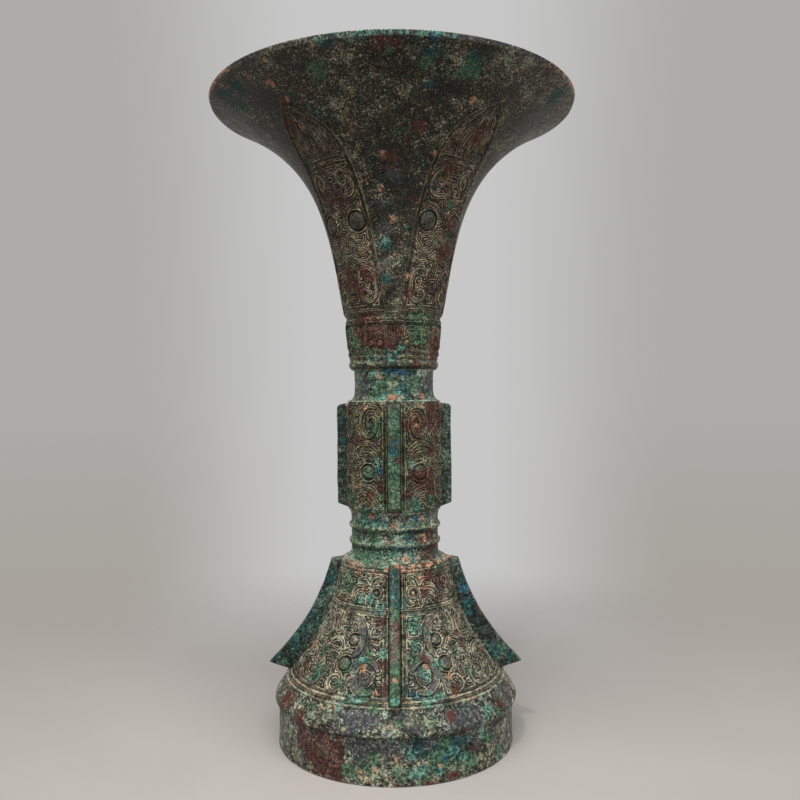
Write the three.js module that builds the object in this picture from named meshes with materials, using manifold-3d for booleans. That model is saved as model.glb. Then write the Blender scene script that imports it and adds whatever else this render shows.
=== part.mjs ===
// Bronze gu: a tall trumpet-mouthed wine beaker of the Chinese ritual bronze family.
// Sizes are in millimetres, +Z is up, and the origin is the centre of the foot's resting face.
// The beaker is a stack of turned castings. Each casting stands flat on the one below it and drops
// a short spigot into it. Eight flanges are let into grooves in the drum and the foot skirt.

import * as THREE from "three";
import { mergeVertices } from "three/addons/utils/BufferGeometryUtils.js";
import Module from "manifold-3d";

const wasm = await Module();
wasm.setup();

// Heights of the castings, from the table up
const footRingHeight = 20.5;
const shoulderHeight = 10.5;
const skirtHeight = 55;
const lowerNeckHeight = 22.5;
const drumHeight = 51;
const upperNeckHeight = 15;
const collarHeight = 25.5;
const trumpetHeight = 100;

// Outer radii of the castings
const footRingRadius = 55.6;
const shoulderProjection = 1.7;
const skirtFootInset = 4.4;
const skirtTopRadius = 25.8;
const lowerNeckRadius = 20.8;
const drumRadius = 22.4;
const upperNeckRadius = 19.1;
const collarFootRadius = 20.9;
const throatRadius = 23.3;
const mouthRadius = 86;

// Walls, and the fit of one piece in another
const wall = 3;
const rimWall = 2.2;
const skirtFootWall = 4;
const spigotWall = 1.2;
const spigotLength = 5;
const fitGap = 0.3;

// Shape of the flares: the straight share of each flare, and the power of the rest
const trumpetStraightShare = 0.31;
const trumpetPower = 4.5;
const skirtStraightShare = 0.25;
const skirtPower = 2.2;
const flangeStraightShare = 0.5;
const flangePower = 2.4;

// Mouldings
const lipBandHeight = 2.2;
const lipBandLean = 0.8;
const lipEase = 0.4;
const lipTopWidth = 1.2;
const collarBeadHeight = 4;
const collarBeadProjection = 0.6;
const collarBeadChamfer = 0.9;
const collarFilletHeight = 2.7;
const collarFilletDepth = 0.35;
const bowstringProjection = 1.1;
const bowstringWidth = 3.4;
const lowerBowstringHeight = 7.7;
const upperBowstringHeight = 15.2;
const neckFlare = 3.3;
const lowerNeckTopFlare = 0.9;
const lowerNeckFootFlare = 1.9;
const drumEdge = 0.9;
const skirtTopEdge = 2;
const shoulderRound = 1.5;
const floorThickness = 3;
const floorDish = 0.8;
const floorHeight = 3.5;

// Flanges
const flangeLetIn = 1;
const drumFlangeProjection = 5;
const drumFlangeTopInset = 1.2;
const drumFlangeFootInset = 0.6;
const drumFlangeFootSlant = 2.3;
const drumFlangeCorner = 2.2;
const drumFlangeRootThickness = 6.6;
const drumFlangeEdgeThickness = 5.4;
const footFlangeTopProjection = 4.8;
const footFlangeTipProjection = 9.3;
const footFlangeTopInset = 1.3;
const footFlangeTopSlope = 0.8;
const footFlangeRootInset = 0.8;
const footFlangeFootSlant = 3.5;
const footFlangeRootThickness = 5.4;
const footFlangeEdgeThickness = 4.3;

// Round bosses: the eyes of the masks, by height in their casting and angle from a flange
const bossSides = 10;
const bossRings = 6;
const drumEyeRadius = 3.4;
const drumEyeProjection = 1.5;
const drumEyeHeight = 18.7;
const drumEyeAngle = 31.6;
const skirtBrowEyeRadius = 2.5;
const skirtEyeRadius = 3.1;
const skirtEyeProjection = 1.5;
const skirtBrowEyeHeight = 22.7;
const skirtBrowEyeAngle = 30.8;
const skirtEyeHeight = 13.5;
const skirtEyeAngle = 32.8;

// Core spacers: cast-in bronze tablets that held the core off the mould
const spacerSize = 4.2;
const spacerAngle = 26;
const spacerHeight = 6.2;

// Roundness of the wide and the slim turned castings, and the number of steps along a flare
const wideSides = 48;
const slimSides = 32;
const trumpetSteps = 13;
const skirtSteps = 8;
const flangeSteps = 7;
const cornerSteps = 3;
const flangeCount = 4;

// Heights of the seams
const shoulderSeam = footRingHeight;
const skirtSeam = shoulderSeam + shoulderHeight;
const lowerNeckSeam = skirtSeam + skirtHeight;
const drumSeam = lowerNeckSeam + lowerNeckHeight;
const upperNeckSeam = drumSeam + drumHeight;
const collarSeam = upperNeckSeam + upperNeckHeight;
const trumpetSeam = collarSeam + collarHeight;
const rimHeight = trumpetSeam + trumpetHeight;

// Radii of the foot that follow its ring
const shoulderRadius = footRingRadius + shoulderProjection;
const skirtFootRadius = footRingRadius - skirtFootInset;

// Bores
const throatBore = throatRadius - wall;
const upperNeckBore = upperNeckRadius - wall;
const drumBore = drumRadius - wall;
const lowerNeckBore = lowerNeckRadius - wall;
const footRingBore = footRingRadius - wall;
const skirtFootBore = skirtFootRadius - skirtFootWall;

const bronze = (colour, roughness) =>
  new THREE.MeshStandardMaterial({ color: colour, roughness, metalness: 0.75 });
const bodyBronze = () => bronze(0x3a3d31, 0.62);
const greenBronze = () => bronze(0x2c4a40, 0.66);
const darkBronze = () => bronze(0x23241f, 0.7);
const redBronze = () => bronze(0x4a2a26, 0.68);

// A flare from 0 to 1 that starts nearly straight and opens ever faster
const flareAt = (t, straightShare, power) =>
  straightShare * t + (1 - straightShare) * t ** power;

const stepsFrom0To1 = (steps) => Array.from({ length: steps + 1 }, (_, i) => i / steps);

// A ring or disc turned about the Z axis from a closed profile of [radius, height], outer side upwards
function turned(profile, sides) {
  const points = profile.map(([radius, height]) => new THREE.Vector2(radius, height));
  points.push(points[0].clone());
  return new THREE.LatheGeometry(points, sides).rotateX(Math.PI / 2);
}

// The inner side of a wall: each point of an outer profile moved inwards by that point's thickness
function insetProfile(outer, thicknessAt) {
  return outer.map(([radius, height], i) => {
    const [r0, z0] = outer[Math.max(i - 1, 0)];
    const [r1, z1] = outer[Math.min(i + 1, outer.length - 1)];
    const length = Math.hypot(r1 - r0, z1 - z0);
    const thickness = thicknessAt(i / (outer.length - 1));
    return [
      radius - (thickness * (z1 - z0)) / length,
      height + (thickness * (r1 - r0)) / length,
    ];
  });
}

// A closed geometry as a solid that can be cut and joined
function solidOf(geometry) {
  const bare = geometry.clone();
  bare.deleteAttribute("normal");
  bare.deleteAttribute("uv");
  const merged = mergeVertices(bare, 1e-4);
  return new wasm.Manifold(
    new wasm.Mesh({
      numProp: 3,
      vertProperties: merged.attributes.position.array,
      triVerts: new Uint32Array(merged.index.array),
    }),
  );
}

function geometryOf(solid) {
  const mesh = solid.getMesh();
  const geometry = new THREE.BufferGeometry();
  geometry.setAttribute("position", new THREE.BufferAttribute(mesh.vertProperties, 3));
  geometry.setIndex(new THREE.BufferAttribute(mesh.triVerts, 1));
  geometry.computeVertexNormals();
  return geometry;
}

// The four quarter turns at which flanges stand; the first points to the front, which is -Y
const flangeTurns = Array.from(
  { length: flangeCount },
  (_, i) => (i * 2 * Math.PI) / flangeCount - Math.PI / 2,
);

const turnedTo = (geometry, angle) => geometry.clone().rotateZ(angle);

// Trumpet: the flared cup wall with its upright lip band, and the spigot that drops into the collar
const trumpetFlareHeight = trumpetHeight - lipBandHeight;
const trumpetFlareRadius = mouthRadius - lipBandLean;

function trumpetRadiusAt(height) {
  const t = height / trumpetFlareHeight;
  return (
    throatRadius +
    (trumpetFlareRadius - throatRadius) * flareAt(t, trumpetStraightShare, trumpetPower)
  );
}

// Heights that crowd towards the rim, where the wall turns fastest
const trumpetHeights = stepsFrom0To1(trumpetSteps).map(
  (t) => trumpetFlareHeight * (1 - (1 - t) ** 1.5),
);

function trumpetGeometry() {
  const outer = trumpetHeights.map((height) => [trumpetRadiusAt(height), trumpetSeam + height]);
  const inner = insetProfile(outer, (t) => wall + (rimWall - wall) * t)
    .slice(1, -1)
    .filter(([, height]) => height < rimHeight - lipEase);
  const profile = [
    [throatBore + spigotWall, trumpetSeam - spigotLength],
    [throatBore + spigotWall, trumpetSeam],
    ...outer,
    [mouthRadius, rimHeight - lipEase],
    [mouthRadius - lipEase, rimHeight],
    [mouthRadius - lipEase - lipTopWidth, rimHeight],
    ...inner.reverse(),
    [throatBore, trumpetSeam],
    [throatBore, trumpetSeam - spigotLength],
  ];
  return turned(profile, wideSides);
}

// A flattened round boss, half sunk in the wall at a radius, height and angle
function boss(radius, height, angle, bossRadius, projection) {
  const geometry = new THREE.SphereGeometry(bossRadius, bossSides, bossRings)
    .scale(projection / bossRadius, 1, 1)
    .translate(radius, 0, height)
    .rotateZ(angle);
  return solidOf(geometry);
}

// Collar: the band under the trumpet, with a sunk fillet above and a chamfered bead below
function collarGeometry() {
  const counterbore = throatBore + spigotWall + fitGap;
  const beadRadius = collarFootRadius + collarBeadProjection;
  const beadTop = collarSeam + collarBeadHeight;
  const filletFoot = trumpetSeam - collarFilletHeight;
  const spigotRadius = upperNeckBore + spigotWall;
  return turned([
    [spigotRadius, collarSeam - spigotLength],
    [spigotRadius, collarSeam],
    [upperNeckRadius + collarBeadChamfer, collarSeam],
    [beadRadius, collarSeam + collarBeadChamfer * 2],
    [beadRadius, beadTop - collarBeadProjection],
    [collarFootRadius, beadTop],
    [throatRadius - collarFilletDepth, filletFoot],
    [throatRadius - 2 * collarFilletDepth, filletFoot + collarFilletDepth],
    [throatRadius - 2 * collarFilletDepth, trumpetSeam - collarFilletDepth],
    [throatRadius - collarFilletDepth, trumpetSeam],
    [counterbore, trumpetSeam],
    [counterbore, trumpetSeam - spigotLength - fitGap],
    [throatBore, trumpetSeam - spigotLength - fitGap],
    [upperNeckBore, collarSeam],
    [upperNeckBore, collarSeam - spigotLength],
  ], slimSides);
}

// Upper neck: a plain tube whose foot flares out over the drum's top
function upperNeckGeometry() {
  const counterbore = upperNeckBore + spigotWall + fitGap;
  const flare = stepsFrom0To1(cornerSteps).map((t) => {
    const angle = (t * Math.PI) / 2;
    return [
      upperNeckRadius + neckFlare * (1 - Math.sin(angle)),
      upperNeckSeam + drumEdge / 2 + neckFlare * (1 - Math.cos(angle)),
    ];
  });
  return turned([
    [drumBore - fitGap, upperNeckSeam - spigotLength],
    [drumBore - fitGap, upperNeckSeam],
    [upperNeckRadius + neckFlare, upperNeckSeam],
    ...flare,
    [upperNeckRadius, collarSeam],
    [counterbore, collarSeam],
    [counterbore, collarSeam - spigotLength - fitGap],
    [upperNeckBore, collarSeam - spigotLength - fitGap],
    [upperNeckBore, upperNeckSeam - spigotLength],
  ], slimSides);
}

// A flange seen from the side: rootAt and edgeAt give its radii at a height, and a gap widens it all
// round into the cutter for its groove
function flangeGeometry(outline, rootAt, edgeAt, rootThickness, edgeThickness, gap) {
  const shape = new THREE.Shape(outline.map(([radius, height]) => new THREE.Vector2(radius, height)));
  const geometry = new THREE.ExtrudeGeometry(shape, { depth: 1, bevelEnabled: false });
  const position = geometry.attributes.position;
  for (let i = 0; i < position.count; i++) {
    const radius = position.getX(i);
    const height = position.getY(i);
    const side = position.getZ(i) - 0.5;
    const reach = (radius - rootAt(height)) / (edgeAt(height) - rootAt(height));
    const share = THREE.MathUtils.clamp(reach, 0, 1);
    const thickness = rootThickness + (edgeThickness - rootThickness) * share + 2 * gap;
    position.setXYZ(i, radius, -side * thickness, height);
  }
  geometry.computeVertexNormals();
  return geometry;
}

// Drum flange: straight edge, rounded top corner, slanted foot
function drumFlangeGeometry(gap = 0) {
  const top = upperNeckSeam - drumFlangeTopInset + gap;
  const foot = drumSeam + drumFlangeFootInset - gap;
  const root = drumRadius - flangeLetIn - gap;
  const edge = drumRadius + drumFlangeProjection + gap;
  const corner = stepsFrom0To1(cornerSteps).map((t) => {
    const angle = (t * Math.PI) / 2;
    return [
      edge - drumFlangeCorner * (1 - Math.cos(angle)),
      top - drumFlangeCorner * (1 - Math.sin(angle)),
    ];
  });
  const outline = [[root, foot], [edge, foot + drumFlangeFootSlant], ...corner, [root, top]];
  return flangeGeometry(
    outline,
    () => root,
    () => edge,
    drumFlangeRootThickness,
    drumFlangeEdgeThickness,
    gap,
  );
}

// Drum: the cylindrical middle of the beaker, with a ledge inside that carries the cup's floor
function drumSolid() {
  const spigotRadius = lowerNeckBore + spigotWall;
  const profile = [
    [spigotRadius, drumSeam - spigotLength],
    [spigotRadius, drumSeam],
    [drumRadius - drumEdge, drumSeam],
    [drumRadius, drumSeam + drumEdge],
    [drumRadius, upperNeckSeam - drumEdge],
    [drumRadius - drumEdge, upperNeckSeam],
    [drumBore, upperNeckSeam],
    [drumBore, drumSeam + floorHeight],
    [lowerNeckBore, drumSeam + floorHeight],
    [lowerNeckBore, drumSeam - spigotLength],
  ];
  let solid = solidOf(turned(profile, slimSides));
  const eyeAngle = THREE.MathUtils.degToRad(drumEyeAngle);
  for (const turn of [flangeTurns[0], flangeTurns[2]]) {
    for (const side of [-1, 1]) {
      const angle = turn + side * eyeAngle;
      const eyeHeight = drumSeam + drumEyeHeight;
      solid = solid.add(boss(drumRadius, eyeHeight, angle, drumEyeRadius, drumEyeProjection));
    }
  }
  const boreFoot = drumSeam + floorHeight;
  const bore = solidOf(
    turned([[0, boreFoot], [drumBore, boreFoot], [drumBore, upperNeckSeam], [0, upperNeckSeam]], slimSides),
  );
  solid = solid.subtract(bore);
  for (const turn of flangeTurns) {
    solid = solid.subtract(solidOf(turnedTo(drumFlangeGeometry(fitGap), turn)));
  }
  return solid;
}

// Cup floor: a slightly dished disc that lies on the drum's ledge and closes the beaker
function cupFloorGeometry() {
  const radius = drumBore - fitGap;
  const under = drumSeam + floorHeight;
  return turned([
    [0, under],
    [radius, under],
    [radius, under + floorThickness],
    [radius / 2, under + floorThickness - floorDish * 0.75],
    [0, under + floorThickness - floorDish],
  ], slimSides);
}

// Lower neck: a tube with two bowstring ridges, flared a little at both ends
function lowerNeckGeometry() {
  const counterbore = lowerNeckBore + spigotWall + fitGap;
  const ridge = (height) => [
    [lowerNeckRadius, height - bowstringWidth / 2],
    [lowerNeckRadius + bowstringProjection * 0.8, height - bowstringWidth / 5],
    [lowerNeckRadius + bowstringProjection, height],
    [lowerNeckRadius + bowstringProjection * 0.8, height + bowstringWidth / 5],
    [lowerNeckRadius, height + bowstringWidth / 2],
  ];
  return turned([
    [lowerNeckBore + spigotWall, lowerNeckSeam - spigotLength],
    [lowerNeckBore + spigotWall, lowerNeckSeam],
    [lowerNeckRadius + lowerNeckFootFlare, lowerNeckSeam],
    [lowerNeckRadius + lowerNeckFootFlare * 0.3, lowerNeckSeam + lowerNeckFootFlare * 0.6],
    [lowerNeckRadius, lowerNeckSeam + lowerNeckFootFlare * 1.6],
    ...ridge(lowerNeckSeam + lowerBowstringHeight),
    ...ridge(lowerNeckSeam + upperBowstringHeight),
    [lowerNeckRadius, drumSeam - lowerNeckTopFlare * 2.4],
    [lowerNeckRadius + lowerNeckTopFlare * 0.4, drumSeam - lowerNeckTopFlare],
    [lowerNeckRadius + lowerNeckTopFlare, drumSeam],
    [counterbore, drumSeam],
    [counterbore, drumSeam - spigotLength - fitGap],
    [lowerNeckBore, drumSeam - spigotLength - fitGap],
    [lowerNeckBore, lowerNeckSeam - spigotLength],
  ], slimSides);
}

// Foot skirt: the flared foot, closed on top by a plate with a socket for the lower neck
const skirtFlareTop = lowerNeckSeam - skirtTopEdge;

function skirtRadiusAt(height) {
  const t = THREE.MathUtils.clamp((skirtFlareTop - height) / (skirtFlareTop - skirtSeam), 0, 1);
  return (
    skirtTopRadius +
    (skirtFootRadius - skirtTopRadius) * flareAt(t, skirtStraightShare, skirtPower)
  );
}

const footFlangeTopHeight = lowerNeckSeam - footFlangeTopInset;
const footFlangeTipHeight = skirtSeam + footFlangeRootInset + footFlangeFootSlant;
const footFlangeRootHeight = skirtSeam + footFlangeRootInset;

function footFlangeEdgeAt(height) {
  const fall = (footFlangeTopHeight - height) / (footFlangeTopHeight - footFlangeTipHeight);
  const t = THREE.MathUtils.clamp(fall, 0, 1);
  const topRadius = skirtTopRadius + footFlangeTopProjection;
  const tipRadius = skirtFootRadius + footFlangeTipProjection;
  return topRadius + (tipRadius - topRadius) * flareAt(t, flangeStraightShare, flangePower);
}

// Foot flange: its edge sweeps out to a tip over the skirt's foot
function footFlangeGeometry(gap = 0) {
  const rootAt = (height) => skirtRadiusAt(height) - flangeLetIn - gap;
  const edgeAt = (height) => footFlangeEdgeAt(height) + gap;
  const rise = footFlangeTopHeight - footFlangeTipHeight;
  const edge = stepsFrom0To1(flangeSteps).map((t) => {
    const height = footFlangeTipHeight + rise * t;
    return [edgeAt(height), height + (t === 0 ? -gap : 0) + (t === 1 ? gap : 0)];
  });
  const rootTop = footFlangeTopHeight + footFlangeTopSlope + gap;
  const rootFoot = footFlangeRootHeight - gap;
  const root = stepsFrom0To1(flangeSteps).map((t) => {
    const height = rootTop + (rootFoot - rootTop) * t;
    return [rootAt(height), height];
  });
  return flangeGeometry(
    [...edge, ...root],
    rootAt,
    edgeAt,
    footFlangeRootThickness,
    footFlangeEdgeThickness,
    gap,
  );
}

function skirtSolid() {
  const flareHeight = skirtFlareTop - skirtSeam;
  const outer = stepsFrom0To1(skirtSteps).map((t) => {
    const height = skirtSeam + flareHeight * t;
    return [skirtRadiusAt(height), height];
  });
  const inner = insetProfile(outer, () => wall).filter(
    ([, height]) => height > skirtSeam && height < lowerNeckSeam - wall,
  );
  const socket = lowerNeckBore + spigotWall + fitGap;
  const profile = [
    [skirtFootBore + spigotWall, skirtSeam - spigotLength],
    [skirtFootBore + spigotWall, skirtSeam],
    ...outer,
    [skirtTopRadius - skirtTopEdge * 0.4, lowerNeckSeam - skirtTopEdge * 0.3],
    [skirtTopRadius - skirtTopEdge, lowerNeckSeam],
    [socket, lowerNeckSeam],
    [socket, lowerNeckSeam - wall],
    [skirtTopRadius - wall, lowerNeckSeam - wall],
    ...inner.reverse(),
    [skirtFootBore, skirtSeam],
    [skirtFootBore, skirtSeam - spigotLength],
  ];
  let solid = solidOf(turned(profile, wideSides));
  const eyes = [
    [skirtBrowEyeHeight, skirtBrowEyeRadius, skirtBrowEyeAngle],
    [skirtEyeHeight, skirtEyeRadius, skirtEyeAngle],
  ];
  for (const turn of [flangeTurns[0], flangeTurns[2]]) {
    for (const side of [-1, 1]) {
      for (const [height, eyeRadius, eyeAngle] of eyes) {
        const radius = skirtRadiusAt(skirtSeam + height);
        const eyeHeight = skirtSeam + height;
        const angle = turn + side * THREE.MathUtils.degToRad(eyeAngle);
        solid = solid.add(boss(radius, eyeHeight, angle, eyeRadius, skirtEyeProjection));
      }
    }
  }
  for (const turn of flangeTurns) {
    solid = solid.subtract(solidOf(turnedTo(footFlangeGeometry(fitGap), turn)));
  }
  return solid;
}

// Shoulder ring: the bulging plain band between the skirt and the foot ring, with its spacer holes
function shoulderRing() {
  const socket = skirtFootBore + spigotWall + fitGap;
  const spigotRadius = footRingBore - fitGap;
  return solidOf(
    turned([
      [spigotRadius, shoulderSeam - spigotLength],
      [spigotRadius, shoulderSeam],
      [shoulderRadius - 0.3 * shoulderRound, shoulderSeam],
      [shoulderRadius, shoulderSeam + 0.5 * shoulderRound],
      [shoulderRadius - 0.2 * shoulderRound, shoulderSeam + 1.6 * shoulderRound],
      [
        skirtFootRadius + (shoulderRadius - skirtFootRadius) * 0.6,
        shoulderSeam + shoulderHeight * 0.55,
      ],
      [skirtFootRadius, skirtSeam],
      [socket, skirtSeam],
      [socket, skirtSeam - spigotLength - fitGap],
      [spigotRadius - spigotWall, shoulderSeam],
      [spigotRadius - spigotWall, shoulderSeam - spigotLength],
    ], wideSides),
  );
}

// A square bar that crosses the shoulder ring's wall from well inside it to well outside
function spacerBar(angle, size) {
  const inner = skirtFootBore - wall;
  const outer = shoulderRadius + wall;
  const geometry = new THREE.BoxGeometry(outer - inner, size, size)
    .translate((inner + outer) / 2, 0, shoulderSeam + spacerHeight)
    .rotateZ(angle);
  return solidOf(geometry);
}

const spacerTurns = flangeTurns.map((turn) => turn + THREE.MathUtils.degToRad(spacerAngle));

function shoulderSolid(ring) {
  return spacerTurns.reduce(
    (solid, angle) => solid.subtract(spacerBar(angle, spacerSize + 2 * fitGap)),
    ring,
  );
}

const spacerSolid = (ring, angle) => ring.intersect(spacerBar(angle, spacerSize));

// Foot ring: the upright band that stands on the table
function footRingGeometry() {
  return turned([
    [footRingBore, 0],
    [footRingRadius - lipEase, 0],
    [footRingRadius, lipEase],
    [footRingRadius, shoulderSeam],
    [footRingBore, shoulderSeam],
  ], wideSides);
}

function named(name, geometry, material, turn = 0) {
  const mesh = new THREE.Mesh(geometry, material);
  mesh.name = name;
  mesh.rotation.z = turn;
  return mesh;
}

const plainShoulder = shoulderRing();

const beaker = new THREE.Group();
beaker.add(
  named("trumpet_mouth", trumpetGeometry(), bodyBronze()),
  named("collar_band", collarGeometry(), bodyBronze()),
  named("upper_neck", upperNeckGeometry(), bodyBronze()),
  named("drum", geometryOf(drumSolid()), bodyBronze()),
  named("cup_floor", cupFloorGeometry(), darkBronze()),
  named("lower_neck", lowerNeckGeometry(), bodyBronze()),
  named("foot_skirt", geometryOf(skirtSolid()), bodyBronze()),
  named("foot_shoulder", geometryOf(shoulderSolid(plainShoulder)), bodyBronze()),
  named("foot_ring", footRingGeometry(), bodyBronze()),
);

const flangeSides = ["front", "right", "back", "left"];
flangeTurns.forEach((turn, i) => {
  const side = flangeSides[i];
  beaker.add(
    named(`drum_flange_${side}`, drumFlangeGeometry(), greenBronze(), turn),
    named(`foot_flange_${side}`, footFlangeGeometry(), greenBronze(), turn),
  );
});

spacerTurns.forEach((angle, i) => {
  const spacer = geometryOf(spacerSolid(plainShoulder, angle));
  beaker.add(named(`core_spacer_${flangeSides[i]}`, spacer, redBronze()));
});

export default beaker;
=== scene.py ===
"""A bronze gu, a tall wine beaker: its cast relief and its patina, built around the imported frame.

Lengths are in millimetres and angles in degrees, unless a name says otherwise. Angle 0 is the front
flange, which points to -Y, and angles grow towards +X. Meshes are written in metres.
"""

import logging
import math
from collections.abc import Callable
from dataclasses import dataclass, field, replace
from enum import Enum

import bpy
import numpy as np
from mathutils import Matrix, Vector


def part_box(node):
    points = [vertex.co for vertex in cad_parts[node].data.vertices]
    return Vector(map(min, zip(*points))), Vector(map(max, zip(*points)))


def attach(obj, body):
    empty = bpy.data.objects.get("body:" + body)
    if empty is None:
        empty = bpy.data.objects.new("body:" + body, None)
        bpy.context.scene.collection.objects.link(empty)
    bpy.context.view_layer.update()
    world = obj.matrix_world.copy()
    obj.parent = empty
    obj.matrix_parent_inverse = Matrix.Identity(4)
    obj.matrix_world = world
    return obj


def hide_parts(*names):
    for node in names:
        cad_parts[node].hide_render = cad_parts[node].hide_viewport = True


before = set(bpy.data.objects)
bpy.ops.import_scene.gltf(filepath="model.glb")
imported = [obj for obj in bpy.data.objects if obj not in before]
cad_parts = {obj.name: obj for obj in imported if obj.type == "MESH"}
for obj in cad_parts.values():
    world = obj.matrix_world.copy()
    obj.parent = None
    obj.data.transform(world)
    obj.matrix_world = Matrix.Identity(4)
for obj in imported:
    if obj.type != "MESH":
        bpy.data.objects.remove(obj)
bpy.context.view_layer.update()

logging.basicConfig(level=logging.INFO, format="%(message)s")
log = logging.getLogger("gu")

MM = 0.001
BODY = "root"
FAR = 1e3
SHARP_EDGE = 62.0
# The last carried value marks where shade is painted: in the flange slots and under mouldings.
CARRIED = ("thread", "raised", "decor", "pit")
SPIGOT_DROP = 5.0
EDGE_RIDGE = 0.8
FIT_GAP = 0.3
COLLAR_RADIUS = 21.8
NECK_RADIUS = 19.1
DRUM_RADIUS = 22.4
LOWER_NECK_RADIUS = 20.8
FOOT_RADIUS = 55.6
TRUMPET_RISE = 97.8
LIP_BAND = 2.2
SKIRT_RISE = 53
SKIRT_EASE = 2
SPACER_ANGLE = 26.0
SPACER_HEIGHT = 26.7
SHOULDER_CURVE = ((57.2, 1.7), (56.9, 2.5), (56.3, 3.7), (55.6, 4.8), (54.7, 6), (53.6, 7.4), (52.4, 8.9))

Colour = tuple[float, float, float]
Place = tuple[float, float]
Marks = dict[str, np.ndarray]
Socket = bpy.types.NodeSocket
Value = Socket | Colour | float


def tone(red: int, green: int, blue: int) -> Colour:
    """A colour written in screen values from 0 to 255, as the linear values that shaders take.

    Args:
        red: Screen value of red.
        green: Screen value of green.
        blue: Screen value of blue.

    Returns:
        The linear red, green and blue.
    """
    def straight(value: int) -> float:
        """One screen value made linear."""
        share = value / 255
        return share / 12.92 if share <= 0.04045 else ((share + 0.055) / 1.055) ** 2.4
    return straight(red), straight(green), straight(blue)


def smooth_step(low: float, high: float, values: np.ndarray) -> np.ndarray:
    """A soft step from 0 at the value low to 1 at the value high."""
    share = np.clip((values - low) / (high - low), 0, 1)
    return share * share * (3 - 2 * share)


def turned_place(radius: np.ndarray, angle: np.ndarray, height: np.ndarray) -> np.ndarray:
    """Points on a turned form.

    Args:
        radius: Distance from the axis.
        angle: Angle from the front in degrees.
        height: Height above the table.

    Returns:
        The points, with x, y and z as the last axis.
    """
    turn = np.radians(angle)
    x, y, z = np.broadcast_arrays(radius * np.sin(turn), -radius * np.cos(turn), height)
    return np.stack([x, y, z], axis=-1)


def dense(points: list[Place], spacing: float) -> list[Place]:
    """A profile with points added on its straight stretches.

    Args:
        points: Corners of the profile.
        spacing: Longest step that is left.

    Returns:
        The fuller profile.
    """
    rows = [points[0]]
    for start, end in zip(points[:-1], points[1:]):
        steps = max(1, math.ceil(math.dist(start, end) / spacing))
        for i in range(1, steps + 1):
            share = i / steps
            rows.append((start[0] + (end[0] - start[0]) * share,
                         start[1] + (end[1] - start[1]) * share))
    return rows


def lengths_along(radii: np.ndarray, heights: np.ndarray) -> np.ndarray:
    """Distance along a profile from its first point to each point."""
    return np.concatenate([[0], np.cumsum(np.hypot(np.diff(radii), np.diff(heights)))])


def inner_face(radii: np.ndarray, heights: np.ndarray, thick: np.ndarray) -> list[Place]:
    """The inner face of a flared wall.

    Args:
        radii: Radii of the outer face.
        heights: Heights of the outer face.
        thick: Thickness of the wall there.

    Returns:
        The inner face as radius and height.
    """
    slope = np.gradient(radii, heights)
    length = np.hypot(slope, 1)
    return list(zip(radii - thick / length, heights + thick * slope / length))


@dataclass(frozen=True)
class CastNoise:
    """Smooth repeatable noise in space: the unevenness of castings made by hand.

    Attributes:
        cell: Size of one hill or hollow.
        seed: Which noise it is.
    """

    cell: float
    seed: int

    def corner(self, cells: np.ndarray) -> np.ndarray:
        """The value at lattice corners.

        Args:
            cells: Whole-number corners, with x, y and z as the last axis.

        Returns:
            A value from 0 to 1 for each corner.
        """
        whole = cells.astype(np.uint32)
        mixed = (whole[..., 0] * np.uint32(73856093)) ^ (whole[..., 1] * np.uint32(19349663))
        mixed ^= (whole[..., 2] * np.uint32(83492791)) ^ np.uint32(self.seed * 7919 + 13)
        mixed = (mixed ^ (mixed >> np.uint32(13))) * np.uint32(1274126177)
        mixed ^= mixed >> np.uint32(16)
        return mixed.astype(float) / 0xFFFFFFFF

    def at(self, points: np.ndarray) -> np.ndarray:
        """The noise at points.

        Args:
            points: Points in millimetres, with x, y and z as the last axis.

        Returns:
            A value from 0 to 1 at each point.
        """
        scaled = points / self.cell + 1000.5
        floor = np.floor(scaled).astype(np.int64)
        share = scaled - floor
        share = share * share * (3 - 2 * share)
        total = np.zeros(points.shape[:-1])
        for step in np.ndindex(2, 2, 2):
            offset = np.array(step)
            weight = np.prod(np.where(offset == 1, share, 1 - share), axis=-1)
            total += weight * self.corner(floor + offset)
        return total


THREAD_WAVER = CastNoise(2.6, 5)
THREAD_SHAKE = CastNoise(1.1, 6)
THREAD_WEAR = CastNoise(1.9, 7)
WALL_WANDER = CastNoise(17, 3)
WALL_GRAIN = CastNoise(2.3, 9)
MOULDING_WEAR_AND_HIGHLIGHT = CastNoise(5, 21)
FLANGE_SIDE = CastNoise(4, 21)
FLANGE_EDGE = CastNoise(5, 8)
TABLET_FACE = CastNoise(1.1, 4)


class Crust(Enum):
    """The corrosions that lie on the bronze, by the name of their mesh attribute."""

    SLATE = "stain_slate"
    CUPRITE = "stain_cuprite"
    TEAL = "stain_teal"
    GREEN = "stain_green"
    AZURITE = "stain_azurite"
    TURQUOISE = "stain_turquoise"
    LIME = "stain_lime"
    CLAY = "stain_clay"

    def at(self, *places: tuple[float, ...]) -> list["Stain"]:
        """Patches of it, each as angle, height, reach and, on a flange, distance out."""
        return [Stain(self, *place) for place in places]


SLATE, CUPRITE, TEAL, GREEN, AZURITE, TURQUOISE, LIME, CLAY = Crust


@dataclass(frozen=True)
class Stain:
    """A patch of one corrosion at a place on the beaker.

    Attributes:
        crust: Which corrosion it is.
        angle: Angle of its middle from the front.
        height: Height of its middle.
        reach: Distance at which it ends.
        out: How far its middle stands off the wall, on a flange.
    """

    crust: Crust
    angle: float
    height: float
    reach: float
    out: float = 0.0


@dataclass(frozen=True)
class Ribbon:
    """A raised band of the ornament that follows a curve through its points.

    Attributes:
        points: Places that the band's middle line passes.
        width: Full width half way along.
        rise: Height above the ground.
        ends: Share of the width that is left at the ends.
        corners: True where the band turns in corners and not in curves.
        lined: True where fine threads run on the band itself.
    """

    points: tuple[Place, ...]
    width: float
    rise: float = 0.7
    ends: float = 0.55
    corners: bool = False
    lined: bool = False


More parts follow.
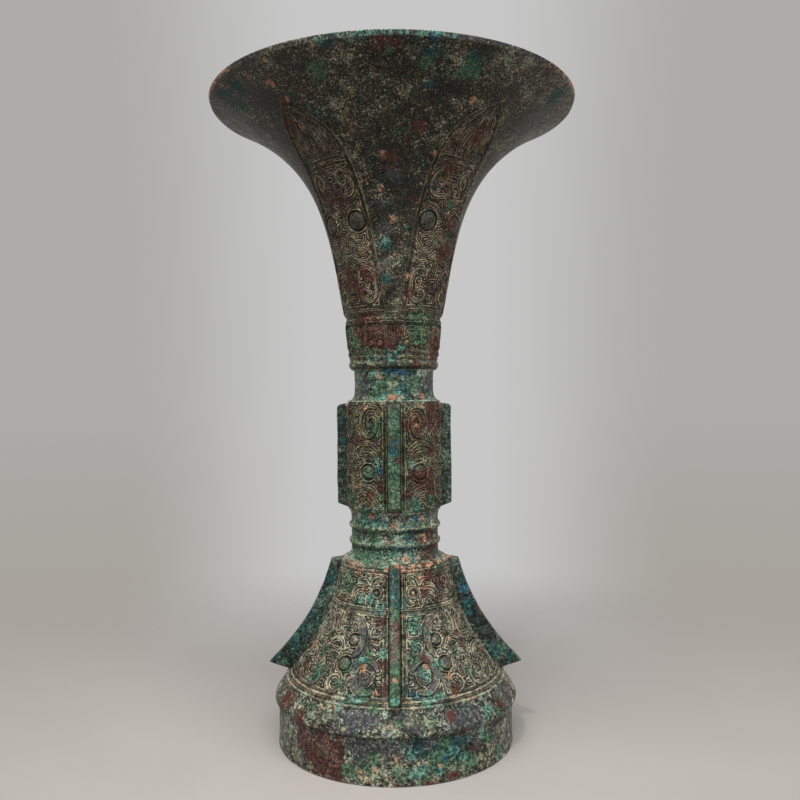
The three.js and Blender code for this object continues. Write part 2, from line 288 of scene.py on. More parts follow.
@dataclass(frozen=True)
class Boss:
    """A round raised eye or bead.

    Attributes:
        at: Place of its middle.
        radius: Its radius.
        rise: Its height above the ground.
        ring: Width of the ring round it.
        slit: True where a level slit is cut across it.
    """

    at: Place
    radius: float
    rise: float
    ring: float = 0.9
    slit: bool = False


@dataclass
class ReliefField:
    """The relief at a set of points.

    Attributes:
        height: Height above the ground.
        thread: Count of threads from the nearest edge of a motif.
        raised: How far the point is on a motif, from 0 to 1.
    """

    height: np.ndarray
    thread: np.ndarray
    raised: np.ndarray

    def carried(self, decor: np.ndarray, groove: np.ndarray) -> Marks:
        """What a casting's outside takes from the relief.

        Args:
            decor: Share of the ornament at each row and column.
            groove: Depth of the grooves there, less than 0 in a groove.

        Returns:
            The height and the values that the mesh carries.
        """
        return {"height": self.height.reshape(decor.shape) * decor + groove,
                "thread": self.thread.reshape(decor.shape),
                "raised": self.raised.reshape(decor.shape),
                # The last value marks the flange slots, where shade is painted.
                "decor": decor, "pit": np.where(groove < 0, 1.0, 0.0)}


def curve_through(points: np.ndarray, steps: int) -> np.ndarray:
    """A smooth line through points.

    Args:
        points: Points in space.
        steps: Steps between two of them.

    Returns:
        Points along the line.
    """
    ends = np.vstack([2 * points[0] - points[1], points, 2 * points[-1] - points[-2]])
    line = []
    for i in range(1, len(ends) - 2):
        before, start, end, after = ends[i - 1:i + 3]
        for t in np.arange(steps) / steps:
            line.append(0.5 * (2 * start + (end - before) * t
                               + (2 * before - 5 * start + 4 * end - after) * t ** 2
                               + (3 * start - before - 3 * end + after) * t ** 3))
    line.append(points[-1])
    return np.array(line)


@dataclass
class PanelPoints:
    """Points of a panel, in space and laid out.

    Attributes:
        spots: The points in space.
        first: First panel coordinate of each.
        second: Second panel coordinate of each.
        wide: Millimetres in one step of the first coordinate.
        tall: Millimetres in one step of the second coordinate.
    """

    spots: np.ndarray
    first: np.ndarray
    second: np.ndarray
    wide: np.ndarray
    tall: np.ndarray


@dataclass
class Ornament:
    """The motifs of one panel and the threads that fill the ground between them.

    Attributes:
        motifs: Ribbons and bosses in panel places.
        place: Function that turns panel places into points in space.
        pitch: Distance from thread to thread.
        thread_rise: Height of the threads.
        edge: Softness of the motifs' edges.
        whorls: Places where a spiral of thread may stand, if the ground is free.
        curve_steps: Steps of a curve between two of its points.
    """

    motifs: list[Ribbon | Boss]
    place: Callable[[np.ndarray], np.ndarray]
    pitch: float = 1.15
    thread_rise: float = 0.2
    edge: float = 0.22
    whorls: tuple[Place, ...] = ()
    curve_steps: int = 5

    def ribbon_gap(self, spots: np.ndarray, ribbon: Ribbon) -> np.ndarray:
        """Distance from points to a ribbon's edge.

        Args:
            spots: Points in space.
            ribbon: The ribbon.

        Returns:
            The distance, which is less than 0 on the ribbon.
        """
        line = self.place(np.array(ribbon.points, float))
        if not ribbon.corners and len(line) > 2:
            line = curve_through(line, self.curve_steps)
        along = np.linspace(-1, 1, len(line))
        halves = ribbon.width / 2 * (1 - (1 - ribbon.ends) * along ** 2)
        nearest = np.full(len(spots), FAR)
        for start, end, wide, wide_next in zip(line[:-1], line[1:], halves[:-1], halves[1:]):
            step = end - start
            share = np.clip((spots - start) @ step / max(step @ step, 1e-9), 0, 1)
            off = spots - start - share[:, None] * step
            gap = np.sqrt((off ** 2).sum(1)) - (wide + (wide_next - wide) * share)
            nearest = np.minimum(nearest, gap)
        return nearest

    def ribbon_relief(self, spots: np.ndarray, ribbon: Ribbon) -> tuple[np.ndarray, ...]:
        """Relief of one ribbon: a flat-backed band with eased sides.

        Args:
            spots: Points in space.
            ribbon: The ribbon.

        Returns:
            Height, distance to the edge and share on the ribbon.
        """
        gap = self.ribbon_gap(spots, ribbon)
        on_ribbon = smooth_step(self.edge, -self.edge, gap)
        inward = np.clip(-gap / (ribbon.width / 2), 0, 1)
        crown = np.sqrt(1 - (1 - inward) ** 2)
        return ribbon.rise * (0.65 * on_ribbon + 0.35 * crown), gap, on_ribbon

    def boss_relief(self, spots: np.ndarray, boss: Boss) -> tuple[np.ndarray, ...]:
        """Relief of one boss: a dome in a moat with a ring round it.

        Args:
            spots: Points in space.
            boss: The boss.

        Returns:
            Height, distance to the ring's edge and share on the boss.
        """
        off = spots - self.place(np.array([boss.at], float))[0]
        apart = np.sqrt((off ** 2).sum(1))
        dome = boss.rise * np.clip(1 - (apart / boss.radius) ** 2.6, 0, 1) ** 0.55
        if boss.slit:
            on_slit = (np.abs(off[:, 2]) < 0.3) & (apart < boss.radius * 0.55)
            dome = np.where(on_slit, dome - 0.35, dome)
        moat = boss.radius * 1.12
        on_ring = np.clip(1 - np.abs(apart - moat - self.pitch / 2) / (boss.ring / 2 + 1e-6), 0, 1) ** 0.6
        height = np.maximum(dome, 0.45 * boss.rise * on_ring)
        on_dome = smooth_step(boss.radius + 0.1, boss.radius - 0.25, apart)
        return height, np.maximum(apart - moat, 0), on_dome

    def free_whorls(self) -> list[Place]:
        """The places of whorls that stand clear of the motifs."""
        if not self.whorls:
            return []
        spots = self.place(np.array(self.whorls, float))
        room = np.full(len(spots), FAR)
        for motif in self.motifs:
            relief = self.boss_relief if isinstance(motif, Boss) else self.ribbon_relief
            room = np.minimum(room, relief(spots, motif)[1])
        return [place for place, gap in zip(self.whorls, room) if gap > self.pitch]

    def over(self, panel: PanelPoints) -> ReliefField:
        """The relief at the points of a panel.

        Args:
            panel: The points.

        Returns:
            The relief at each point.
        """
        spots = panel.spots
        height = np.zeros(len(spots))
        raised = np.zeros(len(spots))
        nearest = np.full(len(spots), FAR)
        lined = np.zeros(len(spots), bool)
        for motif in self.motifs:
            is_boss = isinstance(motif, Boss)
            top, gap, on_motif = (self.boss_relief if is_boss else self.ribbon_relief)(spots, motif)
            height = np.maximum(height, top)
            raised = np.maximum(raised, on_motif * min(1.0, motif.rise / 0.5))
            nearest = np.where(np.abs(gap) < np.abs(nearest), gap, nearest)
            lined |= (gap < 0) & (not is_boss and motif.lined)
        for i, (first, second) in enumerate(self.free_whorls()):
            across, up = (panel.first - first) * panel.wide, (panel.second - second) * panel.tall
            reach = (across ** 4 + up ** 4) ** 0.25
            turn = np.arctan2(up, across) / (2 * np.pi) * (1 if i % 2 else -1)
            gap = reach + self.pitch * (turn - 0.2)
            nearest = np.where((nearest > 0) & (gap < nearest), gap, nearest)
        waver = 0.3 * (THREAD_WAVER.at(spots) - 0.5) + 0.16 * (THREAD_SHAKE.at(spots) - 0.5)
        thread = np.abs(nearest + waver) / self.pitch
        on_band = (nearest < 0) & ~lined
        thread = np.where(on_band, np.minimum(np.abs(nearest) / EDGE_RIDGE, 1), thread)
        ridge = 0.5 - 0.5 * np.cos(2 * np.pi * thread)
        ridge *= 0.6 + 0.8 * THREAD_WEAR.at(spots)
        return ReliefField(height + self.thread_rise * ridge, thread, raised)


def hoop(middle: Place, reach: Place, turns: float = 1.0, inner: float = 1.0,
         start: float = 0.0, steps: int = 10) -> tuple[Place, ...]:
    """Places on a ring or a spiral.

    Args:
        middle: Its middle.
        reach: Its half size across and upwards.
        turns: How often it goes round; less than 0 turns the other way.
        inner: Share of the size that is left at its end.
        start: Angle at which it starts.
        steps: Places in one turn.

    Returns:
        The places along it.
    """
    count = max(3, round(abs(turns) * steps))
    places = []
    for i in range(count + 1):
        share = i / count
        angle = math.radians(start + 360 * turns * share)
        size = 1 + (inner - 1) * share
        places.append((middle[0] + reach[0] * size * math.cos(angle),
                       middle[1] + reach[1] * size * math.sin(angle)))
    return tuple(places)


class Paint:
    """A node tree that is written in short steps."""

    def __init__(self, name: str = "", world: bpy.types.World | None = None) -> None:
        """Starts an empty material, or clears a world's tree.

        Args:
            name: The material's name.
            world: The world, where it isn't a material.
        """
        self.material = world or bpy.data.materials.new(name)
        self.material.use_nodes = True
        self.tree = self.material.node_tree
        self.tree.nodes.clear()
        if world is None:
            self.spot = self.node("ShaderNodeTexCoord").outputs["Object"]

    def node(self, kind: str, **settings: object) -> bpy.types.Node:
        """Adds a node.

        Args:
            kind: The node's type.
            **settings: Its properties.

        Returns:
            The node.
        """
        made = self.tree.nodes.new(kind)
        for name, value in settings.items():
            setattr(made, name, value)
        return made

    def feed(self, socket: Socket, value: Value) -> None:
        """Links a socket to a result, or sets it to a plain value.

        Args:
            socket: The input.
            value: A result of another node, a number or a colour.
        """
        if isinstance(value, Socket):
            self.tree.links.new(value, socket)
        elif isinstance(value, tuple):
            socket.default_value = (*value, 1.0)
        else:
            socket.default_value = value

    def sums(self, operation: str, first: Value, second: Value = 0.0, clamp: bool = False) -> Socket:
        """One arithmetic step.

        Args:
            operation: Blender's name of it.
            first: First value.
            second: Second value.
            clamp: True to keep the result from 0 to 1.

        Returns:
            The result.
        """
        made = self.node("ShaderNodeMath", operation=operation, use_clamp=clamp)
        self.feed(made.inputs[0], first)
        self.feed(made.inputs[1], second)
        return made.outputs[0]

    def times(self, first: Value, second: Value) -> Socket:
        """Two values multiplied."""
        return self.sums("MULTIPLY", first, second)

    def plus(self, first: Value, second: Value) -> Socket:
        """Two values added."""
        return self.sums("ADD", first, second)

    def noise(self, grain_mm: float, seed: float, detail: float = 4.0, rough: float = 0.6,
              curl: float = 0.0) -> Socket:
        """Cloudy noise.

        Args:
            grain_mm: Size of its largest clouds.
            seed: Which noise it is.
            detail: How many finer clouds are added.
            rough: How strong the finer clouds are.
            curl: How far the clouds are drawn out into curls.

        Returns:
            The noise, which stays near a half.
        """
        made = self.node("ShaderNodeTexNoise", noise_dimensions="4D")
        self.feed(made.inputs["Vector"], self.spot)
        made.inputs["W"].default_value = seed
        made.inputs["Scale"].default_value = 1 / (grain_mm * MM)
        made.inputs["Detail"].default_value = detail
        made.inputs["Roughness"].default_value = rough
        made.inputs["Distortion"].default_value = curl
        return made.outputs[0]

    def specks(self, spacing_mm: float, size: float, share: float) -> Socket:
        """Scattered round specks.

        Args:
            spacing_mm: Distance from one possible speck to the next.
            size: Radius of a speck as a share of the spacing.
            share: Share of the places that hold a speck.

        Returns:
            1 on the specks and 0 off them.
        """
        wander = self.node("ShaderNodeVectorMath", operation="SCALE")
        cloud = self.node("ShaderNodeTexNoise")
        self.feed(cloud.inputs["Vector"], self.spot)
        cloud.inputs["Scale"].default_value = 3 / (spacing_mm * MM)
        self.feed(wander.inputs[0], cloud.outputs["Color"])
        wander.inputs["Scale"].default_value = spacing_mm * MM * 0.8
        moved = self.node("ShaderNodeVectorMath", operation="ADD")
        self.feed(moved.inputs[0], self.spot)
        self.feed(moved.inputs[1], wander.outputs[0])
        cell = self.node("ShaderNodeTexVoronoi")
        self.feed(cell.inputs["Vector"], moved.outputs[0])
        cell.inputs["Scale"].default_value = 1 / (spacing_mm * MM)
        lot = self.node("ShaderNodeSeparateColor")
        self.feed(lot.inputs[0], cell.outputs["Color"])
        chosen = self.sums("LESS_THAN", lot.outputs[0], share)
        return self.times(self.step(cell.outputs["Distance"], size, size * 0.7), chosen)

    def step(self, value: Value, low: float, high: float, bottom: float = 0.0,
             top: float = 1.0) -> Socket:
        """A soft step.

        Args:
            value: What is stepped.
            low: Where the step starts.
            high: Where the step ends.
            bottom: Result below the step.
            top: Result above the step.

        Returns:
            The step.
        """
        made = self.node("ShaderNodeMapRange", interpolation_type="SMOOTHSTEP")
        self.feed(made.inputs["Value"], value)
        if low <= high:
            ends = (low, high, bottom, top)
        else:
            ends = (high, low, top, bottom)
        for name, end in zip(("From Min", "From Max", "To Min", "To Max"), ends):
            made.inputs[name].default_value = end
        return made.outputs[0]

    def blend(self, share: Value, under: Value, over: Value, way: str = "MIX") -> Socket:
        """One colour laid over another.

        Args:
            share: How much of the upper colour shows.
            under: The lower colour.
            over: The upper colour.
            way: Blender's name of the way in which they mix.

        Returns:
            The mixed colour.
        """
        made = self.node("ShaderNodeMix", data_type="RGBA", blend_type=way)
        self.feed(made.inputs[0], share)
        self.feed(made.inputs[6], under)
        self.feed(made.inputs[7], over)
        return made.outputs[2]

    def shades(self, value: Value, stops: list[tuple[float, Colour]]) -> Socket:
        """Colours along a scale.

        Args:
            value: The place on the scale.
            stops: Places and colours.

        Returns:
            The colour.
        """
        made = self.node("ShaderNodeValToRGB")
        ramp = made.color_ramp
        while len(ramp.elements) < len(stops):
            ramp.elements.new(0.5)
        for element, (at, _) in zip(ramp.elements, stops):
            element.position = at
        for element, (_, colour) in zip(ramp.elements, stops):
            element.color = (*colour, 1.0)
        self.feed(made.inputs[0], value)
        return made.outputs[0]

    def tinted(self, colour: Value, tint: Value) -> Socket:
        """A colour multiplied by a tint."""
        return self.blend(1.0, colour, tint, "MULTIPLY")

    def marked(self, name: str) -> Socket:
        """A value that the mesh carries under the attribute's name."""
        made = self.node("ShaderNodeAttribute", attribute_type="GEOMETRY", attribute_name=name)
        return made.outputs["Fac"]


@dataclass(frozen=True)
class CrustLook:
    """How one corrosion looks.

    Attributes:
        crust: Which corrosion it is.
        deep: Its dark colour.
        light: Its pale colour.
        grain: Size of its patches.
        curl: How far its patches are drawn out into curls.
        level: Noise above which it grows by itself.
        body: Its thickness.
        cover: How thickly it covers the skin.
        gain: How strongly it grows where the mesh marks it.
    """

    crust: Crust
    deep: Colour
    light: Colour
    grain: float
    curl: float
    level: float
    body: float = 0.0
    cover: float = 0.85
    gain: float = 0.3


CRUST_LOOKS = (
    CrustLook(SLATE, tone(48, 50, 53), tone(80, 81, 84), 8, 0.3, 0.68, cover=0.75),
    CrustLook(CUPRITE, tone(52, 27, 23), tone(100, 53, 45), 6, 0.4, 0.69, cover=0.85),
    CrustLook(TEAL, tone(13, 44, 47), tone(36, 90, 88), 6, 0.6, 0.71, 0.03, 0.8),
    CrustLook(GREEN, tone(32, 58, 42), tone(88, 126, 96), 4.5, 0.8, 0.66, 0.05, 0.8),
    CrustLook(AZURITE, tone(14, 50, 66), tone(38, 106, 134), 4, 0.5, 0.74, 0.05, 0.85),
    CrustLook(TURQUOISE, tone(44, 98, 90), tone(118, 170, 150), 3.2, 1.2, 0.72, 0.07, 0.8, 0.27),
    CrustLook(LIME, tone(98, 102, 78), tone(164, 170, 140), 2.8, 1.6, 0.7, 0.08, 0.7, 0.25),
    CrustLook(CLAY, tone(140, 94, 68), tone(198, 156, 126), 2.4, 0.4, 0.79, 0.14, 0.92, 0.42),
)


@dataclass(frozen=True)
class Patina:
    """A finish of the old bronze.

    Attributes:
        name: The finish's name.
        groove: Its deepest, darkest tone, in pits, and as painted shade in grooves, hollows and slots.
        dark: Its dark skin.
        middle: Its common skin.
        light: Its lighter skin.
        pale: Its palest specks.
        ridge: The tops of threads, partly worn and partly a painted highlight.
        motif: The smooth backs of ribbons and bosses.
        contrast: How far the skin's tones are spread.
        levels: Noise above which a corrosion grows, where it isn't the common one.
        roughness: Roughness of the bare skin.
        clay_share: Share of the places that hold a clay speck.
        pitting: Depth of the fine surface in millimetres.
        fleck_level: Level above which fine pale flecks lie.
        grain: Size of the skin's fine grain.
        cloudy: Share of the skin's tone that its cloudy noise sets.
        lines: How bright a thread's later turns are beside its first one.
    """

    name: str
    groove: Colour = tone(26, 25, 21)
    dark: Colour = tone(48, 46, 38)
    middle: Colour = tone(72, 70, 58)
    light: Colour = tone(98, 97, 82)
    pale: Colour = tone(142, 144, 126)
    ridge: Colour = tone(134, 126, 98)
    motif: Colour = tone(84, 84, 80)
    contrast: float = 6.2
    levels: dict[Crust, float] = field(default_factory=dict)
    roughness: float = 0.4
    clay_share: float = 0.05
    pitting: float = 0.3
    fleck_level: float = 0.9
    grain: float = 1.5
    cloudy: float = 0.3
    lines: float = 0.42

    def material(self) -> bpy.types.Material:
        """Makes the finish.

        Returns:
            The material.
        """
        p = Paint(self.name)
        broad = p.noise(30, 1.0, 3, 0.55)
        mottle = p.noise(6, 2.0, 4, 0.65, 0.5)
        fine = p.noise(self.grain, 3.0, 3, 0.6, 0.6)
        grain = p.noise(0.6, 4.0, 2, 0.6)
        mixed = p.plus(p.plus(p.times(broad, 0.22), p.times(mottle, self.cloudy)),
                       p.times(fine, 0.78 - self.cloudy))
        spread = p.plus(p.times(mixed, self.contrast), 0.5 - 0.5 * self.contrast)
        skin = p.shades(spread, [(0.0, self.groove), (0.28, self.dark), (0.52, self.middle),
                                 (0.74, self.light), (1.0, self.pale)])
        hue = p.noise(5, 5.0, 4, 0.65, 0.8)
        skin = p.tinted(skin, p.shades(hue, [(0.38, (1.18, 0.9, 0.78)), (0.5, (1.0, 1.0, 1.0)),
                                             (0.62, (0.84, 1.06, 1.0))]))
        lace = p.noise(1.25, 7.0, 1.5, 0.5, 1.5)
        back = p.tinted(self.motif, p.shades(hue, [(0.4, (1.25, 0.85, 0.8)), (0.5, (1.0, 1.0, 1.0)),
                                                   (0.6, (0.8, 1.06, 1.12))]))
        skin = p.blend(p.times(p.times(p.marked("raised"), p.marked("decor")), 0.5), skin, back)
        cover = p.times(fine, self.pitting)
        crusted = coated = 0.0
        for look in CRUST_LOOKS:
            skin, mask = self.crust(p, skin, look, fine, lace)
            coated = p.sums("MAXIMUM", coated, mask)
            if look.body > 0:
                cover = p.plus(cover, p.times(mask, look.body))
                crusted = p.sums("MAXIMUM", crusted, mask)
        skin, ridge = self.threads(p, skin, mottle, lace, coated)
        clay = p.specks(4.5, 0.15, self.clay_share)
        skin = p.blend(p.times(clay, 0.85), skin, tone(170, 108, 78))
        cluster = p.plus(p.times(p.noise(13, 9.0, 3, 0.6, 0.8), 0.7), p.times(mottle, 0.3))
        crumbs = p.plus(p.noise(0.95, 8.0, 3, 0.65, 1.0), p.times(cluster, 0.6))
        flecks = p.step(crumbs, self.fleck_level, self.fleck_level + 0.03)
        fleck = p.shades(hue, [(0.36, tone(166, 126, 94)), (0.44, self.pale), (0.54, self.pale),
                               (0.62, tone(104, 148, 124))])
        flecks = p.times(flecks, p.step(p.marked("decor"), 0.0, 1.0, 0.9, 0.4))
        skin = p.blend(flecks, skin, fleck)
        skin = p.blend(p.step(p.plus(p.times(grain, 0.4), p.times(lace, 0.6)), 0.47, 0.39, 0, 0.85),
                       skin, self.groove)
        relief = p.plus(p.plus(p.times(ridge, 0.2), p.times(lace, 0.34)), cover)
        self.shade(p, skin, relief, crusted, mottle, ridge)
        return p.material

    def threads(self, p: Paint, skin: Value, mottle: Value, lace: Value,
                coated: Value) -> tuple[Socket, Socket]:
        """Colours the threads, edges and grooves that the mesh carries, with painted shade in grooves,
        hollows and marked slots, and a painted highlight, partly wear, on ridge tops and edges.

        Args:
            p: The node tree.
            skin: Colour so far.
            mottle: Cloudy noise that breaks up the ridges' wear and painted highlight unevenly.
            lace: Fine noise that breaks them up.
            coated: Where corrosion lies.

        Returns:
            The new colour, and the ridges' height from 0 to 1.
        """
        turn = p.times(p.marked("thread"), 2 * math.pi)
        wave = p.sums("MULTIPLY_ADD", p.sums("COSINE", turn), -0.5)
        wave.node.inputs[2].default_value = 0.5
        decor = p.marked("decor")
        raised = p.times(p.marked("raised"), decor)
        ground = p.sums("SUBTRACT", decor, raised, clamp=True)
        # Pointiness: concave hollows get painted shade, and convex edges get a painted highlight that is
        # partly wear.
        bend = p.node("ShaderNodeNewGeometry").outputs["Pointiness"]
        # The tone of painted shade: the darkest tone, or on corrosion its own colour darkened.
        deep = p.blend(p.times(coated, 0.6), self.groove, p.tinted(skin, (0.36, 0.36, 0.36)))
        skin = p.blend(p.step(bend, 0.49, 0.43, 0.0, 0.7), skin, deep)
        # Thread grooves of the ground darkened: partly dark patina in them, partly painted shade.
        low = p.times(p.step(wave, 0.5, 0.1), ground)
        skin = p.blend(p.times(low, 0.94), skin, deep)
        # This breaks up the lightened ridge tops and edges, which are partly wear and partly painted
        # highlight.
        worn = p.times(p.step(mottle, 0.38, 0.56, 0.3, 1.0), p.step(lace, 0.4, 0.54, 0.2, 1.0))
        first = p.times(p.step(p.marked("thread"), 1.15, 0.95, self.lines, 1.0),
                        p.step(raised, 0.2, 0.9, 1.0, 0.6))
        ridge = p.times(wave, decor)
        # Ridge-top colour: worn bare bronze and a painted highlight; on corrosion, a lit copy of its own
        # colour.
        ridge_wear_and_highlight = p.shades(p.noise(8, 6.0, 3, 0.6), [(0.36, tone(176, 126, 92)), (0.44, self.ridge),
                                                   (0.57, self.ridge), (0.66, tone(140, 172, 144))])
        ridge_wear_and_highlight = p.blend(p.times(coated, 0.8), ridge_wear_and_highlight, p.tinted(skin, (1.9, 1.9, 1.8)))
        # Painted highlight, partly wear, on the thread tops.
        skin = p.blend(p.times(p.times(p.step(ridge, 0.76, 0.98), worn), first), skin, ridge_wear_and_highlight)
        # Painted highlight, partly wear, on convex edges.
        skin = p.blend(p.times(p.step(bend, 0.51, 0.57, 0.0, 0.85), worn), skin, ridge_wear_and_highlight)
        # Painted shade where the mesh marks it: in the flange slots and just below mouldings.
        skin = p.blend(p.times(p.marked("pit"), 0.85), skin, self.groove)
        return skin, ridge

    def crust(self, p: Paint, skin: Value, look: CrustLook, fine: Value,
              lace: Value) -> tuple[Socket, Socket]:
        """Lays one corrosion on the skin.

        Args:
            p: The node tree.
            skin: Colour so far.
            look: The corrosion.
            fine: Fine noise that mottles it.
            lace: Finer noise that breaks it up.

        Returns:
            The new colour and the corrosion's mask.
        """
        seed = 11.0 + 3.7 * list(Crust).index(look.crust)
        cloud = p.noise(look.grain, seed, 5, 0.72, look.curl)
        grown = p.plus(cloud, p.times(p.marked(look.crust.value), look.gain))
        level = self.levels.get(look.crust, look.level)
        mask = p.times(p.step(grown, level, level + 0.035), p.step(lace, 0.37, 0.45, 0.35, 1.0))
        colour = p.blend(p.step(fine, 0.4, 0.6), look.deep, look.light)
        return p.blend(p.times(mask, look.cover), skin, colour), mask

    def shade(self, p: Paint, skin: Value, relief: Value, crusted: Value, mottle: Value,
              ridge: Value) -> None:
        """Ends the tree in one shader.

        Args:
            p: The node tree.
            skin: The finished colour.
            relief: Height of the fine surface in millimetres.
            crusted: Where corrosion lies.
            mottle: Cloudy noise that varies the sheen.
            ridge: Where worn ridges shine.
        """
        bump = p.node("ShaderNodeBump")
        bump.inputs["Strength"].default_value = 1.0
        bump.inputs["Distance"].default_value = MM
        p.feed(bump.inputs["Height"], relief)
        shader = p.node("ShaderNodeBsdfPrincipled")
        p.feed(shader.inputs["Base Color"], skin)
        sheen = p.plus(p.step(mottle, 0.38, 0.62, self.roughness - 0.1, self.roughness + 0.1),
                       p.times(crusted, 0.25))
        p.feed(shader.inputs["Roughness"], p.plus(sheen, p.times(ridge, -0.1)))
        shader.inputs["Metallic"].default_value = 0.0
        shader.inputs["Specular IOR Level"].default_value = 0.22
        p.feed(shader.inputs["Normal"], bump.outputs["Normal"])
        end = p.node("ShaderNodeOutputMaterial")
        p.feed(end.inputs["Surface"], shader.outputs[0])


TRUMPET_FINISH = Patina(
    "trumpet_bronze", groove=tone(19, 19, 15), dark=tone(30, 30, 24), middle=tone(47, 46, 37),
    light=tone(76, 73, 58), pale=tone(178, 172, 146), ridge=tone(208, 178, 142),
    motif=tone(70, 64, 55),
    levels={GREEN: 0.66, TURQUOISE: 0.7, CUPRITE: 0.62, LIME: 0.72,
            TEAL: 0.68, SLATE: 0.7},
    roughness=0.36, clay_share=0.06, pitting=0.22, fleck_level=0.915, grain=0.65,
    cloudy=0.26, contrast=5.0, lines=0.8)
DRUM_FINISH = Patina(
    "drum_bronze", groove=tone(22, 22, 16), dark=tone(42, 43, 29), middle=tone(68, 66, 50),
    light=tone(94, 92, 71), pale=tone(158, 156, 130), ridge=tone(164, 153, 118), motif=tone(66, 64, 48),
    levels={GREEN: 0.61, CUPRITE: 0.63}, contrast=6.0)
NECK_FINISH = Patina(
    "neck_bronze", groove=tone(22, 25, 20), dark=tone(40, 47, 38), middle=tone(64, 73, 61),
    light=tone(108, 120, 104), pale=tone(168, 186, 166), ridge=tone(190, 198, 172),
    levels={GREEN: 0.61, TURQUOISE: 0.68, LIME: 0.68, TEAL: 0.66},
    clay_share=0.08)
SKIRT_FINISH = Patina(
    "skirt_bronze", groove=tone(22, 23, 18), dark=tone(44, 44, 34), middle=tone(77, 74, 61),
    light=tone(116, 113, 95), pale=tone(172, 171, 150), ridge=tone(214, 202, 166),
    motif=tone(96, 95, 92),
    levels={GREEN: 0.62, TURQUOISE: 0.68, LIME: 0.69}, clay_share=0.08)
FOOT_FINISH = Patina(
    "foot_bronze", groove=tone(24, 24, 20), dark=tone(44, 44, 37), middle=tone(74, 74, 64),
    light=tone(116, 119, 104), pale=tone(180, 186, 164), ridge=tone(196, 194, 168),
    levels={GREEN: 0.63, TURQUOISE: 0.67, LIME: 0.68, CUPRITE: 0.65,
            SLATE: 0.64}, clay_share=0.06, pitting=0.38, fleck_level=0.91, contrast=7.5)
# The side and back flanges take this darker finish: partly their own patina, partly painted shade.
FLANGE_FINISH = Patina(
    "flange_bronze", contrast=4.8, groove=tone(15, 18, 16), dark=tone(26, 33, 29), middle=tone(42, 52, 46),
    light=tone(74, 90, 78), pale=tone(122, 146, 126), ridge=tone(128, 134, 120),
    levels={GREEN: 0.65, TEAL: 0.66, TURQUOISE: 0.69, LIME: 0.71})
# A lighter, smoother copy of the flange finish for the front flanges only: painted light, as if lit from
# the front.
LIT_FRONT_FLANGE_FINISH = replace(
    FLANGE_FINISH, name="front_flange_bronze_painted_lit", contrast=3.2, dark=tone(36, 44, 36),
    middle=tone(58, 66, 52), light=tone(88, 98, 76), cloudy=0.5)
INNER_FINISH = Patina(
    "inner_bronze", dark=tone(40, 38, 32), middle=tone(56, 54, 45), light=tone(76, 74, 62))
SPACER_FINISH = Patina(
    "spacer_bronze", groove=tone(40, 22, 22), dark=tone(66, 35, 34), middle=tone(86, 46, 43),
    light=tone(102, 62, 56), pale=tone(120, 86, 78), contrast=2.6,
    levels={GREEN: 0.74, TURQUOISE: 0.76, CUPRITE: 0.56, LIME: 0.76,
            TEAL: 0.8, SLATE: 0.74}, clay_share=0.0, fleck_level=1.0)


class Seams:
    """Heights of the seams between the castings, read from the frame."""

    def __init__(self) -> None:
        """Reads the top of each casting."""
        def top(node: str) -> float:
            """Height of a node's top."""
            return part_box(node)[1].z / MM
        self.shoulder = top("foot_ring")
        self.skirt = top("foot_shoulder")
        self.lower_neck = top("foot_skirt")
        self.drum = top("lower_neck")
        self.upper_neck = top("drum")
        self.collar = top("upper_neck")
        self.trumpet = top("collar_band")
        self.rim = top("trumpet_mouth")


SEAMS = Seams()


@dataclass(frozen=True)
class Flare:
    """An outline that starts nearly straight and opens ever faster.

    Attributes:
        narrow: Radius at its narrow end.
        spread: How much larger the radius is at its wide end.
        straight: Straight part of the opening.
        power: Power of the rest.
    """

    narrow: float
    spread: float
    straight: float
    power: float

    def radius(self, share: np.ndarray) -> np.ndarray:
        """Radius at a share of the way to the wide end."""
        opened = self.straight * share + (1 - self.straight) * share ** self.power
        return self.narrow + self.spread * opened


TRUMPET_FLARE = Flare(23.3, 61.9, 0.31, 4.5)
SKIRT_FLARE = Flare(25.8, 25.4, 0.25, 2.2)
FLANGE_FLARE = Flare(30.6, 29.9, 0.5, 2.4)


def skirt_radius(height: np.ndarray) -> np.ndarray:
    """Outer radius of the foot skirt at a height."""
    share = (SEAMS.lower_neck - SKIRT_EASE - np.asarray(height, float)) / SKIRT_RISE
    return SKIRT_FLARE.radius(np.clip(share, 0, 1))


def trumpet_radius(height: np.ndarray) -> np.ndarray:
    """Outer radius of the trumpet at a height."""
    share = (np.asarray(height, float) - SEAMS.trumpet) / TRUMPET_RISE
    return TRUMPET_FLARE.radius(np.clip(share, 0, 1))


def wall_radius(height: float) -> float:
    """Outer radius of the beaker at a height, without its mouldings.

    Args:
        height: Height above the table.

    Returns:
        The radius.
    """
    if height > SEAMS.trumpet:
        return float(trumpet_radius(height))
    if height > SEAMS.collar:
        return COLLAR_RADIUS
    if height > SEAMS.upper_neck:
        return NECK_RADIUS
    if height > SEAMS.drum:
        return DRUM_RADIUS
    if height > SEAMS.lower_neck:
        return LOWER_NECK_RADIUS
    if height > SEAMS.skirt:
        return float(skirt_radius(height))
    return FOOT_RADIUS


